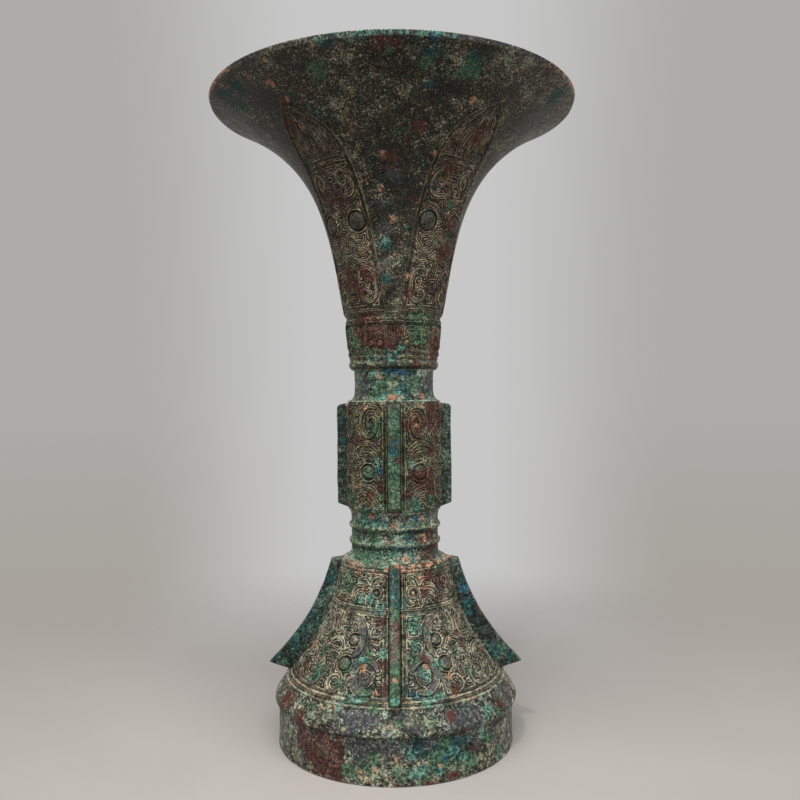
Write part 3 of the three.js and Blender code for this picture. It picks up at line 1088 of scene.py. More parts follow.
STAINS = [
    # the mouth
    *TEAL.at((-67, 294, 10), (-56, 295, 6), (-17, 297, 6), (11, 296, 9), (24, 294, 8),
        (67, 294, 9), (14, 287, 5), (-32, 281, 4), (-7, 230, 4), (-6, 215, 3.5)),
    *GREEN.at((25, 292, 7), (-24, 292, 6), (11, 292, 5), (1, 295, 4), (49, 248, 4)),
    *CUPRITE.at((-1, 296, 6), (-50, 281, 5), (-45, 287, 4), (-56, 251, 5), (-40, 250, 5),
        (-49, 216, 7), (-38, 209, 5), (-25, 217, 5), (47, 276, 6), (38, 264, 5), (55, 242, 5),
        (55, 228, 6), (14, 275, 4), (0, 265, 3.5), (51, 298, 3), (18, 209, 3.5)),
    *SLATE.at((74, 289, 8), (-83, 292, 6), (1, 256, 6), (-10, 247, 4), (-7, 236, 5),
        (-8, 221, 5), (31, 254, 5), (28, 242, 5)),
    *CLAY.at((-43, 292, 3.5), (-42, 287, 2.5), (-2, 297, 2.5), (33, 285, 3), (-5, 266, 2.5),
        (1, 240, 3), (-50, 273, 2.5), (-8, 253, 2.5), (24, 267, 2.5), (29, 213, 2.5), (15, 216, 2),
        (68, 299, 2.5)),
    *AZURITE.at((12, 298, 5), (2, 299, 4)),
    *TURQUOISE.at((7, 299, 5), (-9, 299, 6), (-19, 298, 3.5), (8, 286, 3), (-5, 231, 3)),
    *LIME.at((35, 226, 3.5), (34, 202, 4), (9, 292, 2.5), (5, 205, 3.5), (42, 231, 3),
        (-57, 204, 3), (-26, 228, 3)),
    # the collar
    *CUPRITE.at((-27, 192, 11), (-3, 190, 7), (64, 184, 8), (57, 191, 4), (-90, 200, 4)),
    *GREEN.at((32, 191, 7), (26, 198, 4), (42, 197, 4), (-70, 193, 4), (-54, 186, 5),
        (-73, 180, 4), (-35, 182, 3.5)),
    *TEAL.at((-5, 180, 6), (7, 184, 6)),
    *TURQUOISE.at((-5, 180, 5), (-22, 180, 4), (9, 184, 3), (-33, 178, 3)),
    *LIME.at((13, 178, 4), (-73, 179, 3), (-32, 178, 3)),
    *CLAY.at((68, 193, 2), (-30, 196, 3), (52, 180, 2)),
    # the upper neck
    *TEAL.at((24, 174, 4), (12, 164, 7), (-13, 174, 4)),
    *GREEN.at((-12, 166, 7), (-29, 162, 4), (27, 168, 5)),
    *AZURITE.at((5, 174, 5), (15, 172, 4), (-8, 174, 4), (-3, 163, 3)),
    *TURQUOISE.at((-16, 161, 5), (-24, 172, 4), (7, 163, 3.5)),
    *LIME.at((-2, 167, 3.5), (32, 163, 3), (13, 161, 3), (-40, 160, 4)),
    *SLATE.at((52, 168, 9), (30, 172, 5), (-50, 166, 7)),
    *CUPRITE.at((29, 176, 3.5), (54, 177, 3.5)),
    *CLAY.at((-1, 161, 3.5), (-7, 160, 3), (6, 161, 3), (42, 162, 3), (-20, 171, 2.5),
        (77, 158, 3), (-79, 159, 3), (-36, 157, 2.5), (37, 157, 2.5)),
    # the drum
    *CUPRITE.at((55, 151, 9), (25, 150, 7), (37, 125, 8), (48, 119, 4), (-44, 141, 4),
        (-69, 156, 3.5), (19, 116, 3.5), (50, 137, 3.5), (-29, 116, 4), (-17, 121, 4)),
    *GREEN.at((-22, 147, 5), (-31, 126, 4), (-63, 114, 5), (-17, 115, 4), (50, 113, 4),
        (20, 113, 4)),
    *TEAL.at((-19, 129, 4), (28, 117, 4)),
    *AZURITE.at((-18, 128, 3)),
    *TURQUOISE.at((30, 112, 5), (22, 132, 5), (-15, 111, 4), (-18, 131, 4)),
    *LIME.at((-46, 111, 3), (-31, 111, 3)),
    *CLAY.at((26, 148, 2)),
    # the lower neck
    *CUPRITE.at((52, 94, 11), (76, 97, 4), (60, 87, 4), (45, 101, 4), (33, 93, 4),
        (-12, 100, 4), (20, 100, 4), (6, 108, 5), (-9, 93, 4)),
    *GREEN.at((-59, 92, 7), (-31, 90, 8), (-5, 89, 5), (-54, 103, 4), (-42, 109, 4),
        (-26, 99, 4), (12, 110, 4), (41, 103, 4)),
    *TEAL.at((-43, 91, 9), (10, 92, 10), (-12, 89, 5), (-30, 107, 8), (-59, 99, 5),
        (20, 102, 4)),
    *AZURITE.at((29, 106, 3), (11, 92, 3)),
    *TURQUOISE.at((-12, 102, 3.5), (-9, 86, 4), (-25, 102, 3), (-43, 104, 4), (-37, 97, 3),
        (8, 96, 4), (20, 94, 3), (2, 91, 3), (13, 87, 4), (-31, 86, 3)),
    *LIME.at((-69, 102, 4), (-51, 109, 3.5), (-25, 110, 3.5), (47, 103, 3), (-71, 94, 4),
        (-40, 94, 3), (20, 103, 3), (2, 96, 4), (51, 110, 3), (31, 89, 3.5)),
    *SLATE.at((51, 108, 7), (7, 106, 5), (-12, 102, 5), (23, 98, 4), (27, 90, 4)),
    *CLAY.at((4, 86, 4), (12, 87, 4), (90, 85, 4), (-52, 85, 3), (-39, 86, 3), (30, 87, 3),
        (41, 86, 3), (54, 86, 3), (38, 105, 3), (65, 104, 3), (-3, 103, 2.5), (-30, 107, 2.5),
        (40, 97, 3)),
    # the skirt
    *CUPRITE.at((36, 82, 6), (50, 77, 6), (28, 74, 3.5), (46, 71, 3.5), (-80, 46, 5),
        (-68, 38, 7), (19, 46, 4), (-7, 45, 4), (-6, 37, 4), (55, 51, 6), (-57, 69, 4),
        (34, 35, 4), (-12, 33, 3.5), (-12, 62, 3.5)),
    *GREEN.at((-54, 76, 7), (-81, 56, 4), (-16, 35, 4), (-13, 85, 3.5), (-61, 54, 3.5),
        (-17, 48, 3.5), (-30, 43, 4), (-50, 38, 5), (-55, 47, 3.5), (48, 39, 3.5), (15, 60, 3.5),
        (11, 47, 3.5), (-32, 37, 3.5)),
    *TEAL.at((-24, 45, 3.5), (-25, 35, 3.5), (-53, 41, 3.5), (5, 37, 3.5)),
    *AZURITE.at((10, 35, 4), (-11, 38, 2.5), (25, 56, 2.5)),
    *TURQUOISE.at((17, 33, 5), (-22, 33, 4), (-14, 68, 5), (16, 61, 6), (18, 42, 5),
        (23, 34, 3.5), (-20, 47, 3.5), (-34, 70, 4), (-23, 70, 5), (9, 69, 4), (14, 52, 4),
        (-8, 49, 4), (28, 45, 5), (-53, 36, 3)),
    *LIME.at((-23, 67, 3.5), (-11, 34, 3.5), (15, 80, 5), (25, 81, 3), (-34, 67, 3),
        (-25, 36, 4), (-5, 33, 3), (55, 37, 5), (66, 39, 3), (54, 43, 3), (-40, 34, 4),
        (-60, 55, 4), (7, 34, 3), (-40, 47, 3)),
    *SLATE.at((-14, 44, 5), (-20, 39, 6), (15, 45, 6), (25, 42, 5), (20, 37, 5),
        (47, 73, 5), (-38, 52, 4), (-26, 49, 5), (-44, 79, 3.5), (33, 45, 4), (-19, 53, 5),
        (-25, 57, 4)),
    *CLAY.at((8, 84, 3), (17, 84, 3.5), (27, 85, 3), (38, 85, 3), (53, 86, 3), (70, 86, 2.5),
        (-38, 83, 2.5), (-21, 82, 2), (-8, 84, 2), (26, 79, 3), (31, 76, 2.5), (-31, 75, 2.5),
        (-20, 44, 2.5), (-10, 36, 2), (19, 44, 2.5), (-75, 46, 3), (-27, 40, 2), (-15, 54, 2),
        (42, 53, 2), (32, 40, 2.5), (72, 60, 2), (7, 64, 2)),
    # the shoulder
    *CUPRITE.at((-46, 20, 7), (-62, 26, 8), (56, 24, 4), (-34, 20, 3.5)),
    *GREEN.at((-46, 30, 4), (-33, 29, 3.5), (53, 22, 3.5), (-10, 31, 3), (2, 27, 3)),
    *TEAL.at((25, 31, 3.5)),
    *TURQUOISE.at((47, 25, 5), (15, 26, 3.5), (-2, 21, 3), (-28, 31, 4), (-18, 33, 3),
        (-49, 30, 3)),
    *LIME.at((-42, 27, 6), (-31, 27, 6), (9, 28, 6), (15, 24, 5), (-49, 28, 3.5),
        (-35, 24, 3.5), (1, 23, 4), (-2, 27, 3), (19, 25, 3), (62, 27, 4), (-6, 24, 3.5),
        (-22, 23, 3)),
    *SLATE.at((63, 26, 9), (-21, 26, 9), (-13, 27, 7), (37, 25, 9), (25, 25, 5),
        (2, 30, 6), (8, 25, 4), (29, 30, 4)),
    *CLAY.at((-69, 31, 3), (-24, 30, 2), (-2, 25, 2), (19, 30, 2), (29, 30, 2), (39, 30, 2),
        (-57, 30, 2)),
    # the foot ring
    *CUPRITE.at((-31, 11, 10), (-28, 5, 10), (-38, 8, 9), (-45, 14, 8), (-26, 16, 5),
        (1, 2, 4), (26, 3, 4), (15, 1, 4), (37, 10, 3)),
    *GREEN.at((56, 4, 5), (2, 5, 5), (19, 10, 6), (34, 6, 6), (15, 4, 4), (26, 7, 4),
        (47, 12, 4), (22, 17, 4), (-21, 5, 4), (-9, 12, 4), (-14, 8, 4)),
    *TEAL.at((14, 13, 9), (23, 15, 10), (9, 18, 8), (12, 7, 5), (29, 10, 4), (34, 16, 4),
        (19, 7, 4)),
    *AZURITE.at((12, 7, 3.5), (22, 10, 3)),
    *TURQUOISE.at((9, 6, 5), (26, 13, 4), (42, 17, 4), (20, 5, 3.5), (7, 13, 3.5),
        (32, 9, 3.5)),
    *LIME.at((-58, 14, 5), (-51, 5, 6), (-61, 7, 5), (43, 5, 6), (-6, 4, 6), (-15, 3, 4),
        (56, 14, 4), (62, 4, 4), (31, 4, 4), (1, 9, 4), (-22, 1, 3), (49, 8, 3.5), (26, 6, 3),
        (-42, 3, 3.5), (-21, 10, 3), (-6, 12, 3)),
    *SLATE.at((-4, 17, 9), (-12, 13, 9), (3, 15, 8), (-20, 18, 5), (40, 13, 4),
        (51, 13, 4), (15, 18, 4), (61, 6, 5), (29, 15, 4)),
    *CLAY.at((20, 7, 2), (46, 10, 2.5), (-9, 7, 2), (-15, 6, 2), (0, 11, 2)),
    # the front flanges
    *GREEN.at((0, 153, 4, 5), (0, 146, 5, 5), (0, 129, 6, 5), (0, 122, 6, 5), (0, 115, 4, 5),
        (0, 67, 4, 8), (0, 46, 4, 11), (0, 39, 6, 12)),
    *TEAL.at((0, 157, 3.5, 8), (0, 138, 4, 5), (4, 152, 3, 5), (0, 81, 5, 6), (0, 77, 6, 6),
        (0, 72, 4, 7)),
    *CUPRITE.at((5, 133, 2, 5), (2, 158, 2, 8), (0, 62, 4, 9), (0, 58, 5, 9), (0, 53, 5, 10)),
    *AZURITE.at((1, 141, 2.5, 5), (-1, 137, 3, 5)),
    *TURQUOISE.at((-3, 155, 3, 7), (-4, 132, 2, 5), (0, 37, 2.5, 13), (-1, 74, 2, 7)),
    *LIME.at((0, 120, 3, 5), (0, 115, 3, 5), (-1, 143, 2, 5)),
    *SLATE.at((0, 76, 5, 6), (0, 49, 3.5, 11)),
    *CLAY.at((0, 43, 2, 11)),
    # the flanges on the left and on the right
    *TEAL.at((-90, 151, 4, 1), (-90, 141, 4, 1), (-90, 127, 3.5), (-90, 116, 3.5),
        (-90, 76, 6, 4), (-90, 68, 6, 6), (-90, 59, 7, 7), (-90, 52, 7, 8), (-90, 45, 7, 9),
        (-90, 37, 6, 10), (90, 74, 4, 4), (90, 62, 5, 3), (90, 40, 6, 5), (90, 38, 4, 9)),
    *GREEN.at((-90, 79, 3.5, 3), (-90, 42, 4, 2), (-90, 36, 4, 6), (90, 140, 3.5, 1),
        (90, 155, 2.5, 4), (90, 42, 4, 9)),
    *AZURITE.at((90, 70, 5, 4), (90, 64, 5, 5), (90, 58, 5, 4), (90, 53, 4, 3), (90, 44, 4, 4),
        (-90, 45, 2.5, 8), (-90, 62, 2.5, 7)),
    *TURQUOISE.at((90, 39, 4, 4), (90, 56, 2.5, 6), (90, 64, 2, 2), (-90, 38, 2, 7)),
    *CUPRITE.at((-90, 117, 3.5, 3), (-90, 74, 2.5, 1)),
    *LIME.at((-90, 57, 3.5), (90, 74, 2.5, 3)),
    *SLATE.at((90, 81, 6, 3), (90, 50, 5, 6), (90, 45, 4, 10)),
    # the back, which the photograph does not show
    *CLAY.at((170, 290, 4), (208, 110, 3), (150, 87, 4), (228, 40, 3), (190, 158, 4),
        (130, 60, 3)),
    *CUPRITE.at((230, 240, 10), (120, 135, 9), (220, 50, 12), (250, 12, 14), (150, 285, 10),
        (170, 190, 8), (110, 75, 8)),
    *GREEN.at((150, 280, 14), (130, 215, 8), (160, 98, 9), (130, 10, 12), (190, 140, 10),
        (240, 60, 10), (200, 168, 8)),
    *TEAL.at((200, 262, 12), (140, 60, 14), (205, 8, 14), (245, 100, 10), (150, 120, 8),
        (170, 285, 12)),
    *AZURITE.at((190, 169, 6), (245, 62, 8), (160, 292, 8), (210, 12, 5)),
    *TURQUOISE.at((200, 262, 9), (215, 140, 8), (140, 60, 10), (205, 8, 12), (160, 290, 7),
        (230, 96, 8)),
    *LIME.at((180, 27, 12), (150, 20, 12), (225, 27, 10), (200, 90, 8), (130, 268, 10)),
    *SLATE.at((200, 20, 14), (120, 28, 12), (165, 45, 10), (260, 285, 14)),
]


def stain_marks(points: np.ndarray) -> Marks:
    """How strongly each corrosion marks points of the beaker.

    Args:
        points: Points in millimetres, with x, y and z as the last axis.

    Returns:
        A value from 0 to 1 for each point, by the corrosion's name.
    """
    marks = {crust.value: np.zeros(points.shape[:-1]) for crust in Crust}
    lowest, highest = points[..., 2].min(), points[..., 2].max()
    for stain in STAINS:
        if not lowest - stain.reach < stain.height < highest + stain.reach:
            continue
        radius = wall_radius(stain.height) + stain.out
        middle = turned_place(np.array(radius), np.array(stain.angle), np.array(stain.height))
        apart = np.sqrt(((points - middle) ** 2).sum(-1))
        mark = np.clip(1 - (apart / stain.reach) ** 2, 0, 1) ** 0.7
        marks[stain.crust.value] = np.maximum(marks[stain.crust.value], mark)
    return marks


def paint_ridge_highlight_and_shadow(points: np.ndarray, marks: Marks, level: float, share: float) -> None:
    """Paints a highlight on a moulding's top here and there, partly as worn lime crust, and a shadow just
    below it.

    Args:
        points: Points of the casting.
        marks: Its marks so far, which are changed.
        level: Height of the moulding's middle.
        share: How strong the painted highlight on its top is.
    """
    above = points[..., 2] - level
    broken = 0.5 + MOULDING_WEAR_AND_HIGHLIGHT.at(points)
    # Painted highlight on the moulding's top, in the lime crust's colour, partly wear.
    top = np.clip(1 - (above - 0.3) ** 2, 0, 1) * share * broken
    marks[LIME.value] = np.maximum(marks[LIME.value], top)
    # Painted shadow just below the moulding.
    marks["pit"] = np.maximum(marks["pit"], 0.85 * np.clip(1 - ((above + 2.3) / 0.9) ** 2, 0, 1))


def tube_faces(rows: int, columns: int) -> np.ndarray:
    """The faces of a tube that closes round its section.

    Args:
        rows: Its rows.
        columns: Its columns.

    Returns:
        Four corners for each face, facing outwards.
    """
    index = np.arange(rows * columns).reshape(rows, columns)
    beside = np.roll(index, -1, axis=1)
    return np.stack([index[:-1], index[1:], beside[1:], beside[:-1]], axis=-1).reshape(-1, 4)


def make_piece(node: str, points: np.ndarray, faces: np.ndarray, marks: Marks,
               finish: Patina) -> bpy.types.Object:
    """Makes one piece of the beaker and sets it on the frame.

    Args:
        node: The frame's node that it stands for.
        points: Its points in millimetres.
        faces: Its four-sided faces.
        marks: Values that each point carries.
        finish: Its finish.

    Returns:
        The piece.
    """
    name = node + "_cast"
    mesh = bpy.data.meshes.new(name)
    mesh.vertices.add(len(points))
    mesh.vertices.foreach_set("co", (points * MM).astype(np.float32).ravel())
    mesh.loops.add(faces.size)
    mesh.loops.foreach_set("vertex_index", faces.astype(np.int32).ravel())
    mesh.polygons.add(len(faces))
    mesh.polygons.foreach_set("loop_start", np.arange(0, faces.size, faces.shape[1], dtype=np.int32))
    mesh.update(calc_edges=True)
    for label, values in marks.items():
        held = mesh.attributes.new(label, "FLOAT", "POINT")
        held.data.foreach_set("value", values.astype(np.float32).ravel())
    mesh.shade_smooth()
    mesh.set_sharp_from_angle(angle=math.radians(SHARP_EDGE))
    mesh.materials.append(FINISHES[finish.name])
    piece = bpy.data.objects.new(name, mesh)
    bpy.context.scene.collection.objects.link(piece)
    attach(piece, BODY)
    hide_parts(node)
    log.info("%s: %d faces", name, len(faces))
    return piece


@dataclass
class TurnedCasting:
    """A casting turned about the axis: dense outside, plain inside, closed all round.

    Attributes:
        node: The frame's node that it stands for.
        finish: Its finish.
        repeats: How often its mirrored pair of panels repeats.
        columns: Columns in half a repeat.
        spacing: Distance between the rows outside.
        unevenness: How far its wall wanders inwards.
    """

    node: str
    finish: Patina
    repeats: int = 1
    columns: int = 120
    spacing: float = 0.8
    unevenness: float = 0.22

    def outside(self) -> list[Place]:
        """The outer profile as radius and height, upwards."""
        raise NotImplementedError

    def inside(self) -> list[Place]:
        """The rest of the profile, over the top, down the bore and out below."""
        raise NotImplementedError

    def half_angles(self, radii: np.ndarray) -> np.ndarray:
        """Angles of the columns in half a repeat, for rows of these radii."""
        angles = np.linspace(0, 180 / self.repeats, self.columns + 1)
        return np.tile(angles, (len(radii), 1))

    def relief(self, points: np.ndarray, angles: np.ndarray) -> Marks:
        """Height, thread, raised, decor and painted shade at points of half a repeat."""
        return {name: np.zeros(points.shape[:2]) for name in ("height", *CARRIED)}

    def touch_up(self, points: np.ndarray, angles: np.ndarray) -> np.ndarray:
        """Height added to the whole outside, where it doesn't repeat."""
        return np.zeros(points.shape[:2])

    def own_marks(self, points: np.ndarray, marks: Marks) -> None:
        """Adds the marks that only this casting has."""

    def around(self, half: np.ndarray) -> np.ndarray:
        """Mirrors and repeats the values of half a repeat all round."""
        pair = np.concatenate([half, half[:, -2:0:-1]], axis=1)
        return np.concatenate([pair] * self.repeats, axis=1)

    def all_angles(self, half: np.ndarray) -> np.ndarray:
        """Angles of all the columns.

        Args:
            half: Angles in half a repeat.

        Returns:
            Angles all round.
        """
        span = 360 / self.repeats
        turns = [np.concatenate([half + k * span, (k + 1) * span - half[:, -2:0:-1]], axis=1)
                 for k in range(self.repeats)]
        return np.concatenate(turns, axis=1)

    def build(self, slot: str = "olive_bronze") -> bpy.types.Object:
        """Makes the casting.

        Args:
            slot: The record's material slot; not used.

        Returns:
            The piece.
        """
        outer = np.array(self.outside())
        profile = np.concatenate([outer, np.array(self.inside())])
        tangent = np.gradient(outer, axis=0)
        tangent /= np.linalg.norm(tangent, axis=1)[:, None]
        half = self.half_angles(profile[:, 0])
        angles = self.all_angles(half)
        points = turned_place(profile[:, :1], angles, profile[:, 1:])
        half_points = turned_place(outer[:, :1], half[:len(outer)], outer[:, 1:])
        reliefs = {name: self.around(values)
                   for name, values in self.relief(half_points, half[:len(outer)]).items()}
        skin = points[:len(outer)]
        wander = -self.unevenness * WALL_WANDER.at(skin) - 0.06 * WALL_GRAIN.at(skin)
        wander *= self.calm(outer)[:, None]
        height = reliefs["height"] + wander + self.touch_up(skin, angles[:len(outer)])
        turn = np.radians(angles[:len(outer)])
        out = np.stack([np.sin(turn), -np.cos(turn)], axis=-1) * tangent[:, 1][:, None, None]
        skin[..., :2] += out * height[..., None]
        skin[..., 2] -= tangent[:, 0][:, None] * height
        marks = stain_marks(points)
        for name in CARRIED:
            marks[name] = np.zeros(points.shape[:2])
            marks[name][:len(outer)] = reliefs[name]
        self.own_marks(points, marks)
        return make_piece(self.node, points.reshape(-1, 3), self.faces(*points.shape[:2]), marks,
                          self.finish)

    def calm(self, outer: np.ndarray) -> np.ndarray:
        """Fades the unevenness out at the seams.

        Args:
            outer: The outer profile.

        Returns:
            A share from 0 to 1 for each row.
        """
        steps = np.linalg.norm(np.diff(outer, axis=0), axis=1)
        along = np.concatenate([[0], np.cumsum(steps)])
        return smooth_step(0, 1.5, along) * smooth_step(0, 1.5, along[-1] - along)

    @staticmethod
    def faces(rows: int, columns: int) -> np.ndarray:
        """The faces of a grid that closes on itself both ways.

        Args:
            rows: Its rows.
            columns: Its columns.

        Returns:
            Four corners for each face, facing outwards.
        """
        index = np.arange(rows * columns).reshape(rows, columns)
        beside = np.roll(index, -1, axis=1)
        above = np.roll(index, -1, axis=0)
        corner = np.roll(beside, -1, axis=0)
        return np.stack([index, beside, corner, above], axis=-1).reshape(-1, 4)


@dataclass
class GroovedCasting(TurnedCasting):
    """A casting with grooves that take the flanges.

    Attributes:
        groove_half: Half the width of a groove.
        groove_depth: Its depth.
        groove_foot: Height at which the grooves start.
        groove_top: Height at which they end.
        pitch: Distance from thread to thread.
        whorl_step: Distance from whorl to whorl.
    """

    repeats: int = 2
    groove_half: float = 3.36
    groove_depth: float = 0.9
    groove_foot: float = 0.0
    groove_top: float = 0.0
    pitch: float = 1.15
    whorl_step: float = 3.4

    def groove_angle(self, radii: np.ndarray) -> np.ndarray:
        """Angle from a flange's middle to the groove's edge at each radius."""
        return np.degrees(np.arcsin(np.clip(self.groove_half / radii, 0, 0.5)))

    def half_angles(self, radii: np.ndarray) -> np.ndarray:
        """Angles from one flange to the next: few in the grooves, many between them.

        Args:
            radii: Radius of each row.

        Returns:
            An angle for each row and column.
        """
        edge = self.groove_angle(radii)[:, None]
        wall = edge * 0.93
        panel = edge + (90 - 2 * edge) * np.linspace(0, 1, self.columns + 1)
        return np.concatenate([0 * edge, wall * 0.5, wall, panel, 90 - wall, 90 - wall * 0.5,
                               0 * edge + 90], axis=1)

    def grooves(self, points: np.ndarray, angles: np.ndarray) -> np.ndarray:
        """Depth of the grooves.

        Args:
            points: Points of half a repeat.
            angles: Their angles.

        Returns:
            The depth at each point, less than 0 in a groove.
        """
        radii = np.hypot(points[..., 0], points[..., 1])
        from_flange = np.minimum(angles, 90 - angles)
        inside = from_flange < self.groove_angle(radii) * 0.97
        level = (points[..., 2] > self.groove_foot) & (points[..., 2] < self.groove_top)
        return np.where(inside & level, -self.groove_depth, 0.0)

    def surface_radius(self, height: np.ndarray) -> np.ndarray:
        """Outer radius at a height."""
        raise NotImplementedError

    def place(self, places: np.ndarray) -> np.ndarray:
        """Panel places, as angle and height, in space."""
        return turned_place(self.surface_radius(places[:, 1]), places[:, 0], places[:, 1])

    def motifs(self) -> list[Ribbon | Boss]:
        """The motifs of half a mask."""
        raise NotImplementedError

    def frames(self) -> list[Ribbon]:
        """The plain lines that frame the panels."""
        raise NotImplementedError

    def relief(self, points: np.ndarray, angles: np.ndarray) -> Marks:
        """The relief from the middle of a mask to its side.

        Args:
            points: Points of the outside by row and column.
            angles: Their angles.

        Returns:
            Height, thread, raised and decor at each point.
        """
        heights = points[..., 2].ravel()
        radii = self.surface_radius(heights)
        lean = self.surface_radius(heights + 0.1) - self.surface_radius(heights - 0.1)
        panel = PanelPoints(points.reshape(-1, 3), angles.ravel(), heights, np.radians(radii),
                            np.hypot(lean / 0.2, 1))
        ornament = Ornament([*self.motifs(), *self.frames()], self.place, pitch=self.pitch,
                            whorls=self.whorl_places())
        low, high = self.decor_span()
        decor = smooth_step(low - 0.3, low + 0.3, points[..., 2])
        decor *= smooth_step(high + 0.3, high - 0.3, points[..., 2])
        groove = self.grooves(points, angles)
        return ornament.over(panel).carried(np.where(groove < 0, 0.0, decor), groove)

    def whorl_places(self) -> tuple[Place, ...]:
        """Places of whorls, staggered from row to row.

        Returns:
            The places, some of which lie on motifs.
        """
        low, high = self.decor_span()
        places = []
        for row, level in enumerate(np.arange(low + 2.2, high - 1.5, self.whorl_step * 0.82)):
            wide = math.radians(float(self.surface_radius(level)))
            step = self.whorl_step / wide
            places += [(angle, level) for angle in np.arange(9 + step * (row % 2) / 2, 82, step)]
        return tuple(places)

    def decor_span(self) -> tuple[float, float]:
        """Lowest and highest height of the ornament."""
        raise NotImplementedError


@dataclass
class TrumpetMouth(TurnedCasting):
    """The flared mouth with four rising leaves.

    Attributes:
        leaf_half: Half the width of a leaf.
        leaf_shoulder: Distance up the wall at which a leaf starts to narrow.
        leaf_length: Length of a leaf up the wall.
        leaf_columns: Columns in half a leaf.
        gap_columns: Columns from the middle of a gap to a leaf.
        arc: Distance up the wall of each row, which outside() sets.
    """

    repeats: int = 4
    leaf_half: float = 15.3
    leaf_shoulder: float = 67.0
    leaf_length: float = 100.5
    leaf_columns: int = 35
    gap_columns: int = 9
    spacing: float = 0.46
    arc: np.ndarray = field(init=False, repr=False)

    def outside(self) -> list[Place]:
        """The flare and the upright lip band."""
        heights = np.linspace(SEAMS.trumpet, SEAMS.rim - LIP_BAND, 2000)
        radii = trumpet_radius(heights)
        along = lengths_along(radii, heights)
        fine = np.arange(0, self.leaf_length + 2, self.spacing)
        stops = np.concatenate([fine, np.arange(fine[-1] + 1.1, along[-1] - 0.5, 1.1), [along[-1]]])
        rows = list(zip(np.interp(stops, along, radii), np.interp(stops, along, heights)))
        band = [(85.45, SEAMS.rim - 2.0), (85.6, SEAMS.rim - 1.2), (85.9, SEAMS.rim - 0.5),
                (85.95, SEAMS.rim - 0.2), (85.75, SEAMS.rim)]
        self.arc = np.concatenate([stops, along[-1] + np.arange(1, len(band) + 1) * 0.5])
        return rows + band

    def inside(self) -> list[Place]:
        """The lip's flat top, the inner wall and the spigot."""
        heights = SEAMS.trumpet + TRUMPET_RISE * (1 - np.linspace(0.12, 1, 18) ** 1.5)
        thick = 2.2 + 0.8 * (1 - (heights - SEAMS.trumpet) / TRUMPET_RISE)
        wall = [(r, z) for r, z in inner_face(trumpet_radius(heights), heights, thick)
                if z < SEAMS.rim - 0.4 and r > 20.3]
        foot = SEAMS.trumpet - SPIGOT_DROP
        return [(84.6, SEAMS.rim - 0.02), (84.2, SEAMS.rim - 0.25), *wall, (20.3, SEAMS.trumpet),
                (20.3, foot), (21.5, foot), (21.5, SEAMS.trumpet - 0.02)]

    def half_angles(self, radii: np.ndarray) -> np.ndarray:
        """Angles from the middle of a gap to the middle of a leaf.

        Args:
            radii: Radius of each row.

        Returns:
            An angle for each row and column.
        """
        leaf_edge = self.leaf_half + 0.5
        across = np.linspace(leaf_edge, 0, self.leaf_columns + 1)
        leaf = 45 - np.degrees(across[None, :] / np.maximum(radii, 20.2)[:, None])
        gap = leaf[:, :1] * np.linspace(0, 1, self.gap_columns + 1)[None, :-1]
        return np.concatenate([gap, leaf], axis=1)

    def leaf_edge(self, along: np.ndarray) -> np.ndarray:
        """Half the width of a leaf at a distance up the wall."""
        share = np.clip((along - self.leaf_shoulder) / (self.leaf_length - self.leaf_shoulder), 0, 1)
        return self.leaf_half * (1 - share ** 3) ** 1.15

    def borders(self) -> list[Ribbon]:
        """The lines along a leaf's edge and across its foot."""
        lines = []
        for inset, width, rise, stop in ((0.5, 0.9, 0.5, 1.5), (2.1, 0.5, 0.3, 7.0)):
            stations = np.concatenate([[0.8], np.linspace(8, 62, 8),
                                       np.linspace(68, self.leaf_length - stop, 9)])
            edge = np.maximum(self.leaf_edge(stations) - inset, 0.0)
            lines.append(Ribbon(tuple(zip(edge, stations)), width, rise, 0.8))
        for along in (1.0, 2.6):
            lines.append(Ribbon(((0.0, along), (14.8, along)), 0.6, 0.35, 1.0, corners=True))
        return lines

    def motifs(self) -> list[Ribbon | Boss]:
        """The animal mask that fills half a leaf, as distances from its middle and up the wall."""
        scroll = ((4.6, 16), (5.6, 18.8), (8.4, 20), (11.4, 18.4), (12.6, 14.5), (12.2, 9.5),
                  (10.6, 6), (7.8, 4.9), (5.2, 6.2), (4.8, 8.8), (6.6, 10.6), (8.6, 9.6))
        horn = ((2.6, 53), (7, 52.4), (10.6, 54), (11.6, 58.4), (10.6, 62.4), (7.6, 64.6),
                (4.8, 63), (4.6, 59.6), (6.6, 57.6), (8.6, 59), (8, 61))
        made: list[Ribbon | Boss] = [
            Ribbon(scroll, 1.9, 0.6, 0.6, lined=True),
            Boss((8.4, 14.2), 1.0, 0.6, 0.5),
            Ribbon(((2.6, 32), (4.6, 29.2), (8, 27.6), (11.2, 28.8), (12.8, 31.8)), 2.4, 0.7, 0.3),
            Ribbon(((1.2, 26.4), (3, 24.4), (7, 23), (11, 23.6), (13, 26)), 0.8, 0.4, 0.6),
            Boss((8.5, 41.3), 4.1, 1.5, 0.9),
            Ribbon(((3.2, 44.6), (4.8, 47.2), (8.6, 48.4), (12, 46.8), (13, 44.4)), 0.8, 0.45, 0.5),
            Ribbon(horn, 1.8, 0.6, 0.6, lined=True),
            Ribbon(((0.0, 67.6), (11.5, 67.6)), 0.6, 0.35, 1.0, corners=True),
            Ribbon(((0.0, 70.2), (10.5, 70.2)), 0.6, 0.35, 1.0, corners=True),
            Ribbon(((4.4, 72.5), (4.6, 78), (3.4, 84), (1.7, 90)), 3.2, 0.7, 0.15),
            Ribbon(((0, 71), (0, 98)), 0.7, 0.4, 0.6),
        ]
        return made

